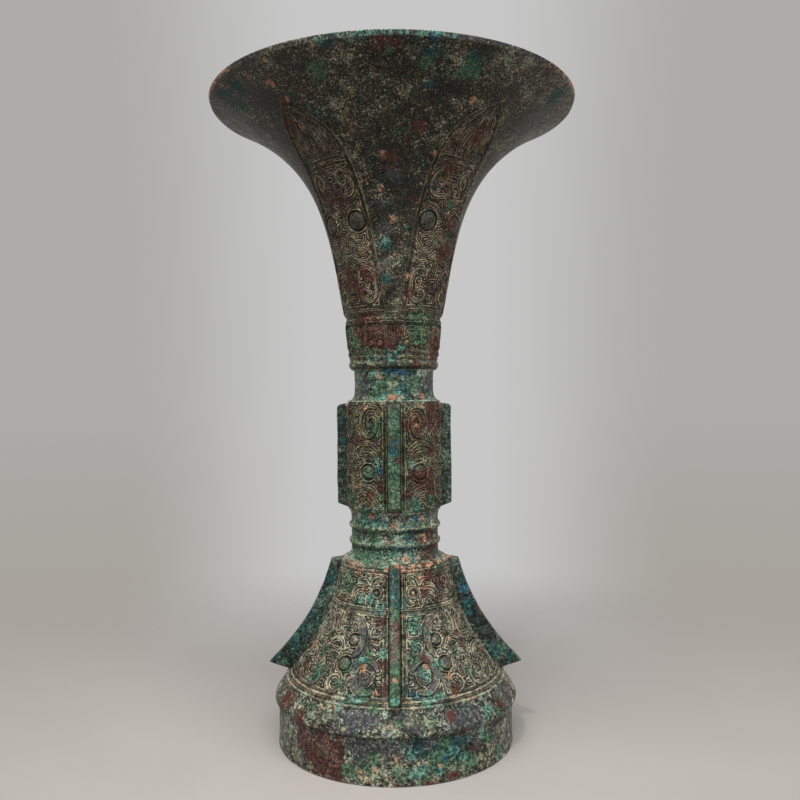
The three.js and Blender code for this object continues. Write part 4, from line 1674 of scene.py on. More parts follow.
    def relief(self, points: np.ndarray, angles: np.ndarray) -> Marks:
        """The relief from the middle of a gap to the middle of a leaf.

        Args:
            points: Points of the outside by row and column.
            angles: Their angles.

        Returns:
            Height, thread, raised and decor at each point.
        """
        radii = np.hypot(points[..., 0], points[..., 1])
        across = np.radians(45 - angles) * radii
        along = np.tile(self.arc[:, None], (1, points.shape[1]))
        flat = np.stack([across, along, np.zeros_like(across)], axis=-1).reshape(-1, 3)
        ones = np.ones(len(flat))

        def spread(places: np.ndarray) -> np.ndarray:
            """Places on the leaf laid flat."""
            return np.column_stack([places, np.zeros(len(places))])

        whorls = tuple((u + 1.7 * (row % 2), v) for row, v in enumerate(np.arange(6, 66, 2.9))
                       for u in np.arange(2.0, 14, 3.4) if not 25 < v < 39)
        ornament = Ornament([*self.motifs(), *self.borders()], spread, pitch=1.05, thread_rise=0.16,
                            whorls=whorls)
        panel = PanelPoints(flat, flat[:, 0], flat[:, 1], ones, ones)
        inner = self.leaf_edge(along) - across
        decor = smooth_step(-0.25, 0.15, inner) * smooth_step(self.leaf_length, self.leaf_length - 2, along)
        decor *= smooth_step(0.0, 0.5, along)
        return ornament.over(panel).carried(decor, np.zeros_like(decor))

    def own_marks(self, points: np.ndarray, marks: Marks) -> None:
        """Pales the lip band, with turquoise at its front and a clay-coloured painted highlight at both
        sides.

        Args:
            points: All its points by row and column.
            marks: The marks so far, which are changed.
        """
        lip = smooth_step(SEAMS.rim - 2.4, SEAMS.rim - 1.8, points[..., 2])
        lip *= np.hypot(points[..., 0], points[..., 1]) > 84
        x = points[..., 0]
        for name, share in ((SLATE.value, 1.2 + 0 * x),
                            (LIME.value, 0.6 * smooth_step(10, -20, x) * smooth_step(-60, -40, x)),
                            (TURQUOISE.value, 0.9 * smooth_step(42, 12, np.abs(x - 4))),
                            # The clay at both sides is a painted highlight along the lip's left and right
                            # ends, in the clay crust's colour.
                            (CLAY.value, 0.8 * smooth_step(50, 72, np.abs(x)))):
            marks[name] = np.maximum(marks[name], lip * share)


@dataclass
class CollarBand(TurnedCasting):
    """The band of small snakes under the trumpet, with its bead."""

    repeats: int = 8
    columns: int = 26
    spacing: float = 0.34

    def own_marks(self, points: np.ndarray, marks: Marks) -> None:
        """Paints highlights on the tops of the bead and of the upper edge, partly as worn lime crust, and
        shadows just below them.
        """
        paint_ridge_highlight_and_shadow(points, marks, SEAMS.collar + 2.9, 0.9)
        paint_ridge_highlight_and_shadow(points, marks, SEAMS.trumpet - 2.8, 0.8)

    def outside(self) -> list[Place]:
        """The bead, the band and the sunk fillet above it."""
        foot, top = SEAMS.collar, SEAMS.trumpet
        corners = [(20.0, foot), (20.9, foot + 0.7), (21.45, foot + 1.6), (21.55, foot + 2.4),
                   (21.4, foot + 3.3), (20.95, foot + 4.1), (22.9, top - 2.9), (23.05, top - 2.6),
                   (22.65, top - 2.2), (22.6, top - 0.6), (22.9, top - 0.1)]
        return dense(corners, self.spacing)

    def inside(self) -> list[Place]:
        """The socket for the trumpet, the bore and the spigot."""
        foot, top = SEAMS.collar, SEAMS.trumpet
        drop = SPIGOT_DROP
        return [(21.8, top), (21.8, top - drop - FIT_GAP), (20.3, top - drop - FIT_GAP),
                (18.2, foot + 10), (16.1, foot), (16.1, foot - drop), (17.3, foot - drop), (17.3, foot)]

    def relief(self, points: np.ndarray, angles: np.ndarray) -> Marks:
        """The relief from between two snakes' heads to the middle of a head.

        Args:
            points: Points of the outside by row and column.
            angles: Their angles.

        Returns:
            Height, thread, raised and decor at each point.
        """
        head = 22.5
        ground = SEAMS.collar
        made: list[Ribbon | Boss] = [
            Boss((head - 6.4, ground + 11.6), 1.75, 1.1, 0.5),
            Ribbon(((head - 12.2, 186.4), (head - 12.4, 190), (head - 11, 193.6), (head - 7, 195.6),
                    (head, 195.9)), 1.1, 0.6, 0.8),
            Ribbon(((head - 9.5, 189), (head - 6, 190.3), (head - 3.2, 188.9), (head, 190.2)),
                   0.7, 0.45, 0.9, corners=True),
            Ribbon(((head - 6, 192.8), (head - 2.6, 192), (head, 192.2)), 0.9, 0.4, 0.7),
            Ribbon(((head - 3.4, 183.6), (head - 1.6, 182.8), (head, 182.7)), 0.8, 0.5, 0.9),
            Boss((head, 186), 0.9, 0.6, 0.3),
            Ribbon(((0, 195), (0, 191)), 0.6, 0.4, 0.6),
            Boss((0, 185.6), 1.1, 0.7, 0.4),
            Ribbon(((0, 182.3), (3.2, 181.1), (6.4, 182.7), (9.6, 181.1), (12.8, 182.7),
                    (16, 181.1), (19.2, 182.7), (22.5, 181.3)), 0.6, 0.4, 1.0),
            Ribbon(((0, ground + 5.2), (head, ground + 5.2)), 0.5, 0.3, 1.0, corners=True),
            Ribbon(((0, SEAMS.trumpet - 3.3), (head, SEAMS.trumpet - 3.3)), 0.5, 0.3, 1.0, corners=True),
        ]

        def place(places: np.ndarray) -> np.ndarray:
            """Panel places, as angle and height, in space."""
            radius = 20.9 + (places[:, 1] - ground - 4) / 18.8 * 2.05
            return turned_place(radius, places[:, 0], places[:, 1])

        heights = points[..., 2].ravel()
        panel = PanelPoints(points.reshape(-1, 3), angles.ravel(), heights,
                            np.full(len(heights), math.radians(COLLAR_RADIUS)), np.ones(len(heights)))
        ornament = Ornament(made, place, pitch=0.85, thread_rise=0.16, edge=0.18)
        height = points[..., 2]
        decor = smooth_step(ground + 4.4, ground + 4.9, height)
        decor *= smooth_step(SEAMS.trumpet - 2.8, SEAMS.trumpet - 3.1, height)
        return ornament.over(panel).carried(decor, np.zeros_like(decor))


@dataclass
class UpperNeck(TurnedCasting):
    """The plain tube between the collar and the drum."""

    columns: int = 90
    spacing: float = 0.6

    def outside(self) -> list[Place]:
        """The flared foot and the tube."""
        foot, top = SEAMS.upper_neck, SEAMS.collar
        corners = [(22.3, foot), (22.2, foot + 0.5), (21.2, foot + 0.75), (20.1, foot + 1.5),
                   (19.4, foot + 2.7), (NECK_RADIUS, foot + 4), (18.9, foot + 8), (NECK_RADIUS, top)]
        return dense(corners, self.spacing)

    def inside(self) -> list[Place]:
        """The socket for the collar, the bore and the spigot."""
        foot, top = SEAMS.upper_neck, SEAMS.collar
        drop = SPIGOT_DROP
        return [(17.6, top), (17.6, top - drop - FIT_GAP), (16.1, top - drop - FIT_GAP),
                (16.1, foot - drop), (19.1, foot - drop), (19.1, foot)]


@dataclass
class Drum(GroovedCasting):
    """The cylindrical middle with its masks."""

    columns: int = 92
    spacing: float = 0.3
    radius: float = DRUM_RADIUS

    def outside(self) -> list[Place]:
        """The upright wall with eased edges."""
        foot, top = SEAMS.drum, SEAMS.upper_neck
        corners = [(21.5, foot), (22.05, foot + 0.25), (22.35, foot + 0.75), (self.radius, foot + 1),
                   (self.radius, top - 1), (22.35, top - 0.7), (22.0, top - 0.2), (21.5, top)]
        return dense(corners, self.spacing)

    def inside(self) -> list[Place]:
        """The bore, the ledge for the cup's floor and the spigot."""
        foot, top = SEAMS.drum, SEAMS.upper_neck
        return [(19.4, top), (19.4, foot + 30), (19.4, foot + 3.5), (17.8, foot + 3.5),
                (17.8, foot - SPIGOT_DROP), (19.0, foot - SPIGOT_DROP), (19.0, foot)]

    def surface_radius(self, height: np.ndarray) -> np.ndarray:
        """Outer radius at a height."""
        return np.full(np.shape(height), self.radius)

    def decor_span(self) -> tuple[float, float]:
        """Lowest and highest height of the ornament."""
        return SEAMS.drum + 1.2, SEAMS.upper_neck - 1.2

    def frames(self) -> list[Ribbon]:
        """The plain lines that frame the panels."""
        low, high = SEAMS.drum + 1.7, SEAMS.upper_neck - 1.7
        lines = [Ribbon(((angle, low), (angle, high)), 0.5, 0.4, 1.0, corners=True)
                 for angle in (11.0, 79.0)]
        lines += [Ribbon(((11.0, level), (79.0, level)), 0.5, 0.4, 1.0, corners=True)
                  for level in (low, high)]
        return lines

    def motifs(self) -> list[Ribbon | Boss]:
        """The horn, brow, eye, jaw and ear of half a mask."""
        horn = ((17.5, 153.5), (21, 156), (28.2, 156.8), (36, 155.6), (41.8, 151), (40.5, 146.4),
                (34, 143.4), (27, 143.6), (21.6, 146.6), (20.8, 150.4), (25, 152.6), (30.4, 151.4),
                (31, 148.4), (27.4, 147.6))
        return [
            Ribbon(horn, 1.7, 0.75, 0.5, lined=True),
            Ribbon(((50, 137.4), (42.8, 139.3), (33.8, 139.9), (25.8, 139), (17.9, 136.4)), 1.6, 0.8, 0.5),
            Ribbon(((44, 135.4), (36, 136.6), (27, 136), (20.4, 133.6)), 1.2, 0.55, 0.4),
            Ribbon(((16.5, 131.5), (18.5, 127), (21, 123.4)), 1.0, 0.5, 0.5),
            Boss((31.6, 127.2), 3.3, 1.8, 0.9, slit=True),
            Ribbon(((42.6, 122.4), (38, 121.2), (32, 120.3), (26, 119.4), (20.4, 117.2)), 1.3, 0.7, 0.4),
            Ribbon(((46.6, 116.6), (39.8, 118.2), (31.8, 117.6), (26.2, 115.7), (21.9, 113.5),
                    (17.8, 112)), 1.2, 0.6, 0.5),
            Ribbon(((39.4, 113.6), (35, 115.5), (29, 114.2), (28.6, 112)), 0.9, 0.5, 0.6),
            Ribbon(((73.5, 127), (70.4, 124.6), (63, 125.4), (56.4, 124.2), (54, 120), (57, 115.6),
                    (64, 113.4), (72, 114.4), (74, 118), (69, 120), (64, 118)), 1.5, 0.65, 0.5, lined=True),
            Ribbon(((52, 149.5), (55.4, 154.4), (62, 156), (70, 155), (74.4, 150), (72, 144.4),
                    (64, 142.6), (58.4, 145), (58.6, 149.4), (64, 151), (67, 148.4)), 1.5, 0.65, 0.5,
                   lined=True),
            Ribbon(((56, 139.4), (62, 138), (69, 138.8), (75, 135)), 1.2, 0.6, 0.5),
            Ribbon(((54, 133), (60, 131), (68, 131.6)), 1.0, 0.5, 0.5),
        ]


@dataclass
class CupFloor(TurnedCasting):
    """The dished disc that closes the cup inside the drum."""

    columns: int = 48
    unevenness: float = 0.0
    spacing: float = 1.5

    def outside(self) -> list[Place]:
        """The disc's rim and its upper face, as a fine ring that nearly meets in the middle."""
        under = SEAMS.drum + 3.5
        return [(19.1, under), (19.1, under + 2.8), (18.9, under + 3)]

    def inside(self) -> list[Place]:
        """The dished top and the flat underside."""
        under = SEAMS.drum + 3.5
        return [(15, under + 2.75), (9.5, under + 2.4), (4, under + 2.22), (0.05, under + 2.2),
                (0.05, under), (9, under)]


@dataclass
class LowerNeck(TurnedCasting):
    """The tube with two bowstring ridges."""

    columns: int = 100
    spacing: float = 0.5

    def outside(self) -> list[Place]:
        """The tube, its flared ends and its ridges."""
        foot, top = SEAMS.lower_neck, SEAMS.drum
        corners = [(22.7, foot), (22.5, foot + 0.7), (21.6, foot + 1.5), (21.1, foot + 2.4),
                   (20.85, foot + 3.4)]
        for level in (foot + 7.7, foot + 15.2):
            for turn in range(-4, 5):
                share = turn / 4
                corners.append((LOWER_NECK_RADIUS + 1.15 * math.cos(share * math.pi / 2) ** 0.8,
                                level + 1.75 * share))
        corners += [(20.85, top - 3), (21.1, top - 1.2), (21.5, top - 0.3), (21.4, top)]
        return dense(corners, self.spacing)

    def own_marks(self, points: np.ndarray, marks: Marks) -> None:
        """Paints highlights on the ridges' tops, partly as worn lime crust, and shadows just below them."""
        for level in (7.7, 15.2):
            paint_ridge_highlight_and_shadow(points, marks, SEAMS.lower_neck + level, 1.1)

    def inside(self) -> list[Place]:
        """The socket for the drum, the bore and the spigot."""
        foot, top = SEAMS.lower_neck, SEAMS.drum
        drop = SPIGOT_DROP
        return [(19.3, top), (19.3, top - drop - FIT_GAP), (17.8, top - drop - FIT_GAP),
                (17.8, foot - drop), (19.0, foot - drop), (19.0, foot)]


@dataclass
class FootSkirt(GroovedCasting):
    """The flared foot with its two registers of ornament."""

    columns: int = 156
    spacing: float = 0.42
    groove_half: float = 2.78
    pitch: float = 1.2

    def outside(self) -> list[Place]:
        """The flare and its eased top edge."""
        flare_top = SEAMS.lower_neck - SKIRT_EASE
        heights = np.linspace(SEAMS.skirt, flare_top, 1200)
        radii = skirt_radius(heights)
        along = lengths_along(radii, heights)
        stops = np.linspace(0, along[-1], round(along[-1] / self.spacing) + 1)
        rows = list(zip(np.interp(stops, along, radii), np.interp(stops, along, heights)))
        return rows + [(25.6, flare_top + 0.8), (25.0, flare_top + 1.5), (24.2, flare_top + 1.9)]

    def inside(self) -> list[Place]:
        """The socket for the neck, the flared inner wall and the spigot."""
        foot, top = SEAMS.skirt, SEAMS.lower_neck
        heights = np.linspace(top - 3.2, foot + 1, 16)
        thick = 3.0 + (top - 3.2 - heights) / 51
        wall = [(r, z) for r, z in inner_face(skirt_radius(heights), heights, thick)
                if foot < z < top - 3.1]
        return [(23.0, top), (19.3, top), (19.3, top - 3), (22.8, top - 3), *wall, (47.2, foot),
                (47.2, foot - SPIGOT_DROP), (48.4, foot - SPIGOT_DROP), (48.4, foot)]

    def surface_radius(self, height: np.ndarray) -> np.ndarray:
        """Outer radius at a height."""
        return skirt_radius(height)

    def decor_span(self) -> tuple[float, float]:
        """Lowest and highest height of the ornament."""
        return SEAMS.skirt + 0.5, SEAMS.lower_neck - 1.9

    def frames(self) -> list[Ribbon]:
        """The lines between and round the two registers."""
        rings = ((SEAMS.skirt + 1.0, 0.7), (SEAMS.skirt + 2.7, 0.5), (64.9, 0.6), (66.3, 0.9),
                 (82.6, 0.5))
        lines = [Ribbon(tuple((angle, level) for angle in range(4, 90, 6)), width, 0.45, 1.0)
                 for level, width in rings]
        for low, high in ((35, 63.8), (67.6, 81.8)):
            for near in (True, False):
                edge = []
                for share in (0.0, 0.25, 0.5, 0.75, 1.0):
                    level = low + (high - low) * share
                    angle = math.degrees(4.3 / float(skirt_radius(level)))
                    edge.append((angle if near else 90 - angle, level))
                lines.append(Ribbon(tuple(edge), 0.55, 0.4, 1.0))
        return lines

    def motifs(self) -> list[Ribbon | Boss]:
        """Half of the great mask below and of the small one above it."""
        return [*self.great_mask(), *self.side_of_great_mask(), *self.small_mask()]

    def great_mask(self) -> list[Ribbon | Boss]:
        """The brow, eye, snout and horn beside the front flange."""
        return [
            Boss((30.8, 53.7), 2.4, 1.7, 0.8),
            Boss((32.8, 44.5), 2.9, 1.9, 0.9),
            Ribbon(((35.2, 62.6), (28.6, 61.4), (25, 58), (24, 53.8), (24.8, 50.2), (27, 47.6)),
                   3.5, 1.1, 0.45),
            Ribbon(((10.4, 43.4), (14, 46), (19.2, 47), (22.8, 45.6), (24.4, 42.6), (23.8, 39.4),
                    (21.4, 36.8), (17.4, 35.2), (13, 35.4)), 3.3, 1.1, 0.6),
            Ribbon(((14, 43.4), (17.4, 44.2), (20.8, 43.6)), 0.9, 0.5, 0.5),
            Ribbon(((13.2, 41.2), (14.7, 39), (17.2, 38.2), (20, 39.4), (19.6, 41.4), (17, 41.4)),
                   0.9, 0.5, 0.7),
            Ribbon(((8.4, 60), (8.6, 56), (11.4, 55), (19.4, 55), (20.6, 57.4), (19, 60), (13, 60.4)),
                   0.8, 0.4, 1.0, corners=True),
            Ribbon(((10.5, 48.6), (14.4, 47.9), (19, 49), (20.9, 51.6), (18.6, 54), (12.6, 53.6)),
                   0.8, 0.45, 0.8),
            Ribbon(((28.8, 37.8), (31.6, 34.8), (36, 34.3), (40, 36.6), (38.4, 39.6), (34.2, 40),
                    (32.4, 37.8), (35, 36.6)), 1.3, 0.7, 0.5),
            Ribbon(((26, 40.4), (28, 37.2), (27, 34.8)), 1.0, 0.5, 0.4),
            Ribbon(((38.6, 47.6), (40.4, 44), (38.8, 41)), 0.9, 0.45, 0.5),
        ]

    def side_of_great_mask(self) -> list[Ribbon | Boss]:
        """The body, claw and tail that run to the side flange."""
        return [
            Ribbon(((37.4, 63.4), (37.2, 59.6), (47, 59), (47, 63)), 0.8, 0.45, 1.0, corners=True),
            Ribbon(((50.4, 62.8), (52.4, 58.4), (49.6, 55.8), (46, 56.6), (46.6, 58)), 0.9, 0.5, 0.8),
            Ribbon(((62.3, 62.4), (57.4, 60), (55.4, 56.4), (57.4, 53.4), (64, 52.4), (72, 52.6),
                    (76.4, 55.4), (75, 59.6), (69, 61.2), (64.4, 58.8), (67, 56)), 1.5, 0.7, 0.5),
            Ribbon(((38.4, 50), (41, 52.2), (45.4, 53.2), (50, 52.2), (52, 50)), 1.2, 0.65, 0.4),
            Ribbon(((41, 48.6), (47, 49.2), (54.6, 48.6), (58, 46)), 0.9, 0.5, 0.6),
            Ribbon(((44.4, 44.4), (46.8, 46.4), (51, 46.6), (53, 44.6), (50.6, 43)), 0.9, 0.55, 0.7),
            Ribbon(hoop((42.8, 40.6), (2.6, 2.1), 1.3, 0.35, 60), 0.9, 0.55, 0.6),
            Ribbon(((50.6, 41), (47.8, 38.4), (48.2, 35.6), (53, 34.4), (61, 34.6), (68, 36.6),
                    (70, 39.4)), 1.6, 0.7, 0.5),
            Ribbon(((53.6, 40.4), (52.8, 37.8), (56.4, 36.8), (61.6, 37.6), (63.4, 40)), 0.8, 0.45, 0.8),
            Ribbon(((59.4, 43.4), (63.6, 46.2), (71, 47), (78, 46.4), (82, 44)), 1.5, 0.7, 0.4),
            Ribbon(((66, 43), (72, 43.8), (78, 42.6), (80.4, 39), (76, 36.4), (73, 38.6)), 1.2, 0.6, 0.6),
            Ribbon(((78.6, 51), (82, 55), (82.4, 60)), 1.0, 0.5, 0.6),
        ]

    def small_mask(self) -> list[Ribbon | Boss]:
        """The eye, snout, crest and body of the upper register."""
        return [
            Boss((17.3, 73.5), 1.0, 0.7, 0.4),
            Ribbon(hoop((17.3, 73.5), (4.9, 2.3), 1.0, 1.0, 90, 14), 0.9, 0.6, 1.0),
            Ribbon(((22.6, 72.6), (24.6, 70.4), (24.2, 68.8)), 1.7, 0.65, 0.5),
            Ribbon(((10.6, 71.6), (12.4, 69.4), (16.4, 69)), 1.0, 0.5, 0.5),
            Ribbon(((11.6, 79.6), (15.4, 80.6), (20.6, 79.6), (23.8, 76.6), (28.6, 79), (36.9, 78.4)),
                   1.2, 0.6, 0.6),
            Ribbon(((28, 75.6), (33, 76), (38.6, 75.4), (43, 72.6), (41, 70)), 1.2, 0.55, 0.5),
            Ribbon(hoop((54.4, 77.0), (7.4, 3.0), 1.25, 0.3, 200), 1.2, 0.6, 0.5),
            Ribbon(((29, 71.6), (34, 72.6), (38, 71)), 0.9, 0.45, 0.5),
            Ribbon(((46, 70.4), (54, 71.4), (62, 70.2)), 1.1, 0.5, 0.4),
            Ribbon(((66, 80), (72, 80.4), (78.4, 78.4), (78, 74), (71.4, 73), (69.6, 76)), 1.2, 0.6, 0.5),
            Ribbon(((66.6, 70), (73, 70.6), (79.4, 69.6)), 1.0, 0.5, 0.5),
        ]


@dataclass
class FootShoulder(TurnedCasting):
    """The bulging plain band under the skirt, with the pockets of the core spacers.

    Attributes:
        pocket_angle: Angle of the first pocket from the front.
        pocket_height: Height of the pockets' middle.
        pocket_half: Half the size of a pocket.
        pocket_depth: Depth of a pocket.
    """

    columns: int = 330
    spacing: float = 0.55
    pocket_angle: float = SPACER_ANGLE
    pocket_height: float = SPACER_HEIGHT
    pocket_half: float = 2.35
    pocket_depth: float = 0.5

    def outside(self) -> list[Place]:
        """The rounded bulge that draws in to the skirt."""
        foot, top = SEAMS.shoulder, SEAMS.skirt
        corners = [(56.6, foot), (57.05, foot + 0.35), (57.25, foot + 0.9),
                   *((radius, foot + up) for radius, up in SHOULDER_CURVE),
                   (51.9, foot + 9.8), (51.9, top)]
        return dense(corners, self.spacing)

    def inside(self) -> list[Place]:
        """The socket for the skirt, the bore and the spigot."""
        foot, top = SEAMS.shoulder, SEAMS.skirt
        drop = SPIGOT_DROP
        return [(51.3, top), (48.7, top), (48.7, top - drop - FIT_GAP), (51.1, foot),
                (51.1, foot - drop), (52.3, foot - drop), (52.3, foot)]

    def touch_up(self, points: np.ndarray, angles: np.ndarray) -> np.ndarray:
        """Sinks the four pockets.

        Args:
            points: Points of the outside by row and column.
            angles: Their angles.

        Returns:
            The added height, less than 0 in a pocket.
        """
        radii = np.hypot(points[..., 0], points[..., 1])
        offset = (angles - self.pocket_angle + 45) % 90 - 45
        across = np.abs(np.radians(offset)) * radii
        up = np.abs(points[..., 2] - self.pocket_height) / 0.86
        inside = np.maximum(across, up)
        return -self.pocket_depth * smooth_step(self.pocket_half + 0.3, self.pocket_half - 0.3, inside)


@dataclass
class FootRing(TurnedCasting):
    """The upright band that stands on the table."""

    columns: int = 260
    spacing: float = 0.7

    def outside(self) -> list[Place]:
        """The upright wall."""
        top = SEAMS.shoulder
        corners = [(55.2, 0.0), (55.45, 0.15), (55.58, 0.5), (FOOT_RADIUS, 1.2), (55.3, 8),
                   (55.4, 14), (FOOT_RADIUS, top - 1), (FOOT_RADIUS, top)]
        return dense(corners, self.spacing)

    def inside(self) -> list[Place]:
        """The bore."""
        top = SEAMS.shoulder
        return [(54, top), (52.6, top), (52.6, 12), (52.6, 0.4), (53, 0.0), (54, 0.0)]


@dataclass
class Flange:
    """A flange: a bladed rib with rounded edges and cut marks on its sides.

    Attributes:
        node: The frame's node that it stands for, without its side.
        root_half: Half its thickness at the wall.
        edge_half: Half its thickness at its edge.
        rows: Rows along it.
        across: Columns on each side.
        cuts: Places of the cut marks along it, from 0 to 1.
    """

    node: str
    root_half: float
    edge_half: float
    rows: int
    across: int = 16
    cuts: tuple[float, ...] = ()

    def root(self, share: np.ndarray) -> tuple[np.ndarray, np.ndarray]:
        """Radius and height of the root at a share of the way up."""
        raise NotImplementedError

    def edge(self, share: np.ndarray) -> tuple[np.ndarray, np.ndarray]:
        """Radius and height of the edge at a share of the way up."""
        raise NotImplementedError

    def outline(self) -> tuple[np.ndarray, np.ndarray]:
        """The section's outline with rounded corners at its edge.

        Returns:
            Share of the way out and side from -1 to 1, at each column.
        """
        out = np.linspace(0, 0.93, self.across)
        corner = np.linspace(0, 1, 5)[1:]
        round_out = 0.93 + 0.07 * np.sin(corner * np.pi / 2)
        round_side = 1 - 0.35 * (1 - np.cos(corner * np.pi / 2))
        face = np.linspace(0.5, -0.5, 7)
        outs = np.concatenate([out, round_out, np.ones(len(face)), round_out[::-1], out[::-1]])
        sides = np.concatenate([np.ones(len(out)), round_side, face, -round_side[::-1],
                                -np.ones(len(out))])
        return outs, sides

    def build(self, side: str, angle: float) -> bpy.types.Object:
        """Makes one flange.

        Args:
            side: The side on which it stands.
            angle: Its angle from the front.

        Returns:
            The piece.
        """
        outs, sides = self.outline()
        share = np.linspace(0, 1, self.rows)
        root_r, root_z = self.root(share)
        edge_r, edge_z = self.edge(share)
        ends = np.minimum(share, 1 - share) * self.rows
        ease = 1 - 0.3 * np.clip(1 - ends / 3, 0, 1) ** 2
        radius = root_r[:, None] + (edge_r - root_r)[:, None] * outs
        height = root_z[:, None] + (edge_z - root_z)[:, None] * outs
        half = self.root_half + (self.edge_half - self.root_half) * outs
        lateral = sides * half * ease[:, None]
        local = np.stack([lateral, -radius, height], axis=-1)
        lateral -= np.sign(sides) * self.marks_cut(share, outs, sides)
        lateral -= np.sign(sides) * 0.18 * FLANGE_SIDE.at(local) * (np.abs(sides) > 0.6)
        worn = 0.35 * FLANGE_EDGE.at(local) * (outs > 0.9)
        radius = radius - worn
        turn = math.radians(angle)
        x = radius * math.sin(turn) + lateral * math.cos(turn)
        y = -radius * math.cos(turn) + lateral * math.sin(turn)
        points = np.stack([x, y, height], axis=-1)
        flat, faces = self.capped(points, tube_faces(*points.shape[:2]))
        marks = stain_marks(flat)
        cut = self.marks_cut(share, outs, sides).ravel() / 0.45
        marks.update(thread=0.5 * cut, raised=0 * cut, decor=(cut > 0.2) * 1.0, pit=0 * cut)
        # The front flanges take the lighter copy of the finish, which is painted light.
        finish = LIT_FRONT_FLANGE_FINISH if side == "front" else FLANGE_FINISH
        return make_piece(f"{self.node}_{side}", flat, faces, marks, finish)

    def marks_cut(self, share: np.ndarray, outs: np.ndarray, sides: np.ndarray) -> np.ndarray:
        """Depth of the marks cut across the flange's sides.

        Args:
            share: Share of the way up each row.
            outs: Share of the way out of each column.
            sides: Side of each column.

        Returns:
            The depth at each row and column.
        """
        depth = np.zeros((len(share), len(outs)))
        for cut in self.cuts:
            near = np.clip(1 - np.abs(share - cut) * self.rows / 1.6, 0, 1)
            depth += 0.4 * near[:, None] * smooth_step(0.3, 0.42, outs)[None, :]
        stem = np.clip(1 - np.abs(outs - 0.5) / 0.05, 0, 1)[None, :]
        for low, high in zip(self.cuts[::2], self.cuts[1::2]):
            inside = ((share > low) & (share < high))[:, None]
            depth += 0.35 * stem * inside
        return np.clip(depth, 0, 0.45) * (np.abs(sides) > 0.6)

    @staticmethod
    def capped(points: np.ndarray, faces: np.ndarray) -> tuple[np.ndarray, np.ndarray]:
        """Closes both ends of a tube with strips from side to side.

        Args:
            points: Points by row and column.
            faces: The tube's faces.

        Returns:
            The points as one list, and all the faces.
        """
        rows, columns = points.shape[:2]
        half = columns // 2
        caps = []
        for start, last in ((0, False), ((rows - 1) * columns, True)):
            for i in range(half - 1):
                near, far = start + i, start + columns - 1 - i
                corners = [near, near + 1, far - 1, far]
                caps.append(corners[::-1] if last else corners)
        return points.reshape(-1, 3), np.concatenate([faces, np.array(caps)])


@dataclass
class DrumFlange(Flange):
    """A flange of the drum: a straight edge, a rounded top corner and a slanted foot."""

    node: str = "drum_flange"
    root_half: float = 3.3
    edge_half: float = 2.7
    rows: int = 150
    across: int = 14
    cuts: tuple[float, ...] = (0.17, 0.31, 0.45, 0.59, 0.72, 0.87)

    def root(self, share: np.ndarray) -> tuple[np.ndarray, np.ndarray]:
        """Radius and height of the root at a share of the way up."""
        foot, top = SEAMS.drum + 0.6, SEAMS.upper_neck - 0.5
        return np.full(len(share), 21.4), foot + (top - foot) * share

    def edge(self, share: np.ndarray) -> tuple[np.ndarray, np.ndarray]:
        """Radius and height of the edge at a share of the way up."""
        foot, top = SEAMS.drum + 0.6 + 2.3, SEAMS.upper_neck - 1.0
        height = foot + (top - foot) * share
        below = np.clip((height - (top - 2.2)) / 2.2, 0, 1)
        return 27.4 - 2.2 * (1 - np.sqrt(1 - below ** 2)), height


@dataclass
class FootFlange(Flange):
    """A flange of the foot: its edge sweeps out to a tip over the skirt's foot."""

    node: str = "foot_flange"
    root_half: float = 2.7
    edge_half: float = 2.15
    rows: int = 170
    across: int = 22
    cuts: tuple[float, ...] = (0.2, 0.3, 0.42, 0.52, 0.63, 0.74)

    def root(self, share: np.ndarray) -> tuple[np.ndarray, np.ndarray]:
        """Radius and height of the root at a share of the way up."""
        foot, top = SEAMS.skirt + 0.8, SEAMS.lower_neck - 0.5
        height = foot + (top - foot) * share
        return skirt_radius(height) - 1, height

    def edge(self, share: np.ndarray) -> tuple[np.ndarray, np.ndarray]:
        """Radius and height of the edge at a share of the way up."""
        foot, top = SEAMS.skirt + 4.3, SEAMS.lower_neck - 1.3
        height = foot + (top - foot) * share
        fall = np.clip((top - height) / (top - foot), 0, 1)
        return FLANGE_FLARE.radius(fall), height


@dataclass
class CoreSpacer:
    """A small cast-in tablet that lies in its pocket in the shoulder.

    Attributes:
        side: The side of the flange that it follows.
        angle: Its angle from the front.
        height: Height of its middle.
        half: Half its size.
    """

    side: str
    angle: float
    height: float = SPACER_HEIGHT
    half: float = 2.1

    def build(self) -> bpy.types.Object:
        """Makes the tablet.

        Returns:
            The piece.
        """
        steps = np.linspace(-1, 1, 15)
        across, up = np.meshgrid(steps, steps)
        worn = np.maximum(np.abs(across), np.abs(up))
        height = self.height + up * self.half
        radii, levels = zip(*SHOULDER_CURVE)
        surface = np.interp(height, SEAMS.shoulder + np.array(levels), radii)
        outer = surface - 0.16 - 0.25 * smooth_step(0.75, 1.0, worn)
        outer -= 0.12 * TABLET_FACE.at(np.stack([across * 2, up * 2, worn], axis=-1))
        inner = surface - 1.2
        layers = []
        for radius in (outer, inner):
            layers.append(turned_place(radius, self.angle + np.degrees(across * self.half / 55), height))
        count = len(steps)
        points = np.concatenate([layer.reshape(-1, 3) for layer in layers])
        index = np.arange(count * count).reshape(count, count)
        front = np.stack([index[:-1, :-1], index[:-1, 1:], index[1:, 1:], index[1:, :-1]], axis=-1)
        back = front[..., ::-1] + count * count
        ring = np.concatenate([index[0, :-1], index[:-1, -1], index[-1, :0:-1], index[:0:-1, 0]])
        after = np.roll(ring, -1)
        walls = np.stack([after, ring, ring + count * count, after + count * count], axis=-1)
        faces = np.concatenate([front.reshape(-1, 4), back.reshape(-1, 4), walls])
        marks = stain_marks(points)
        return make_piece(f"core_spacer_{self.side}", points, faces, marks, SPACER_FINISH)


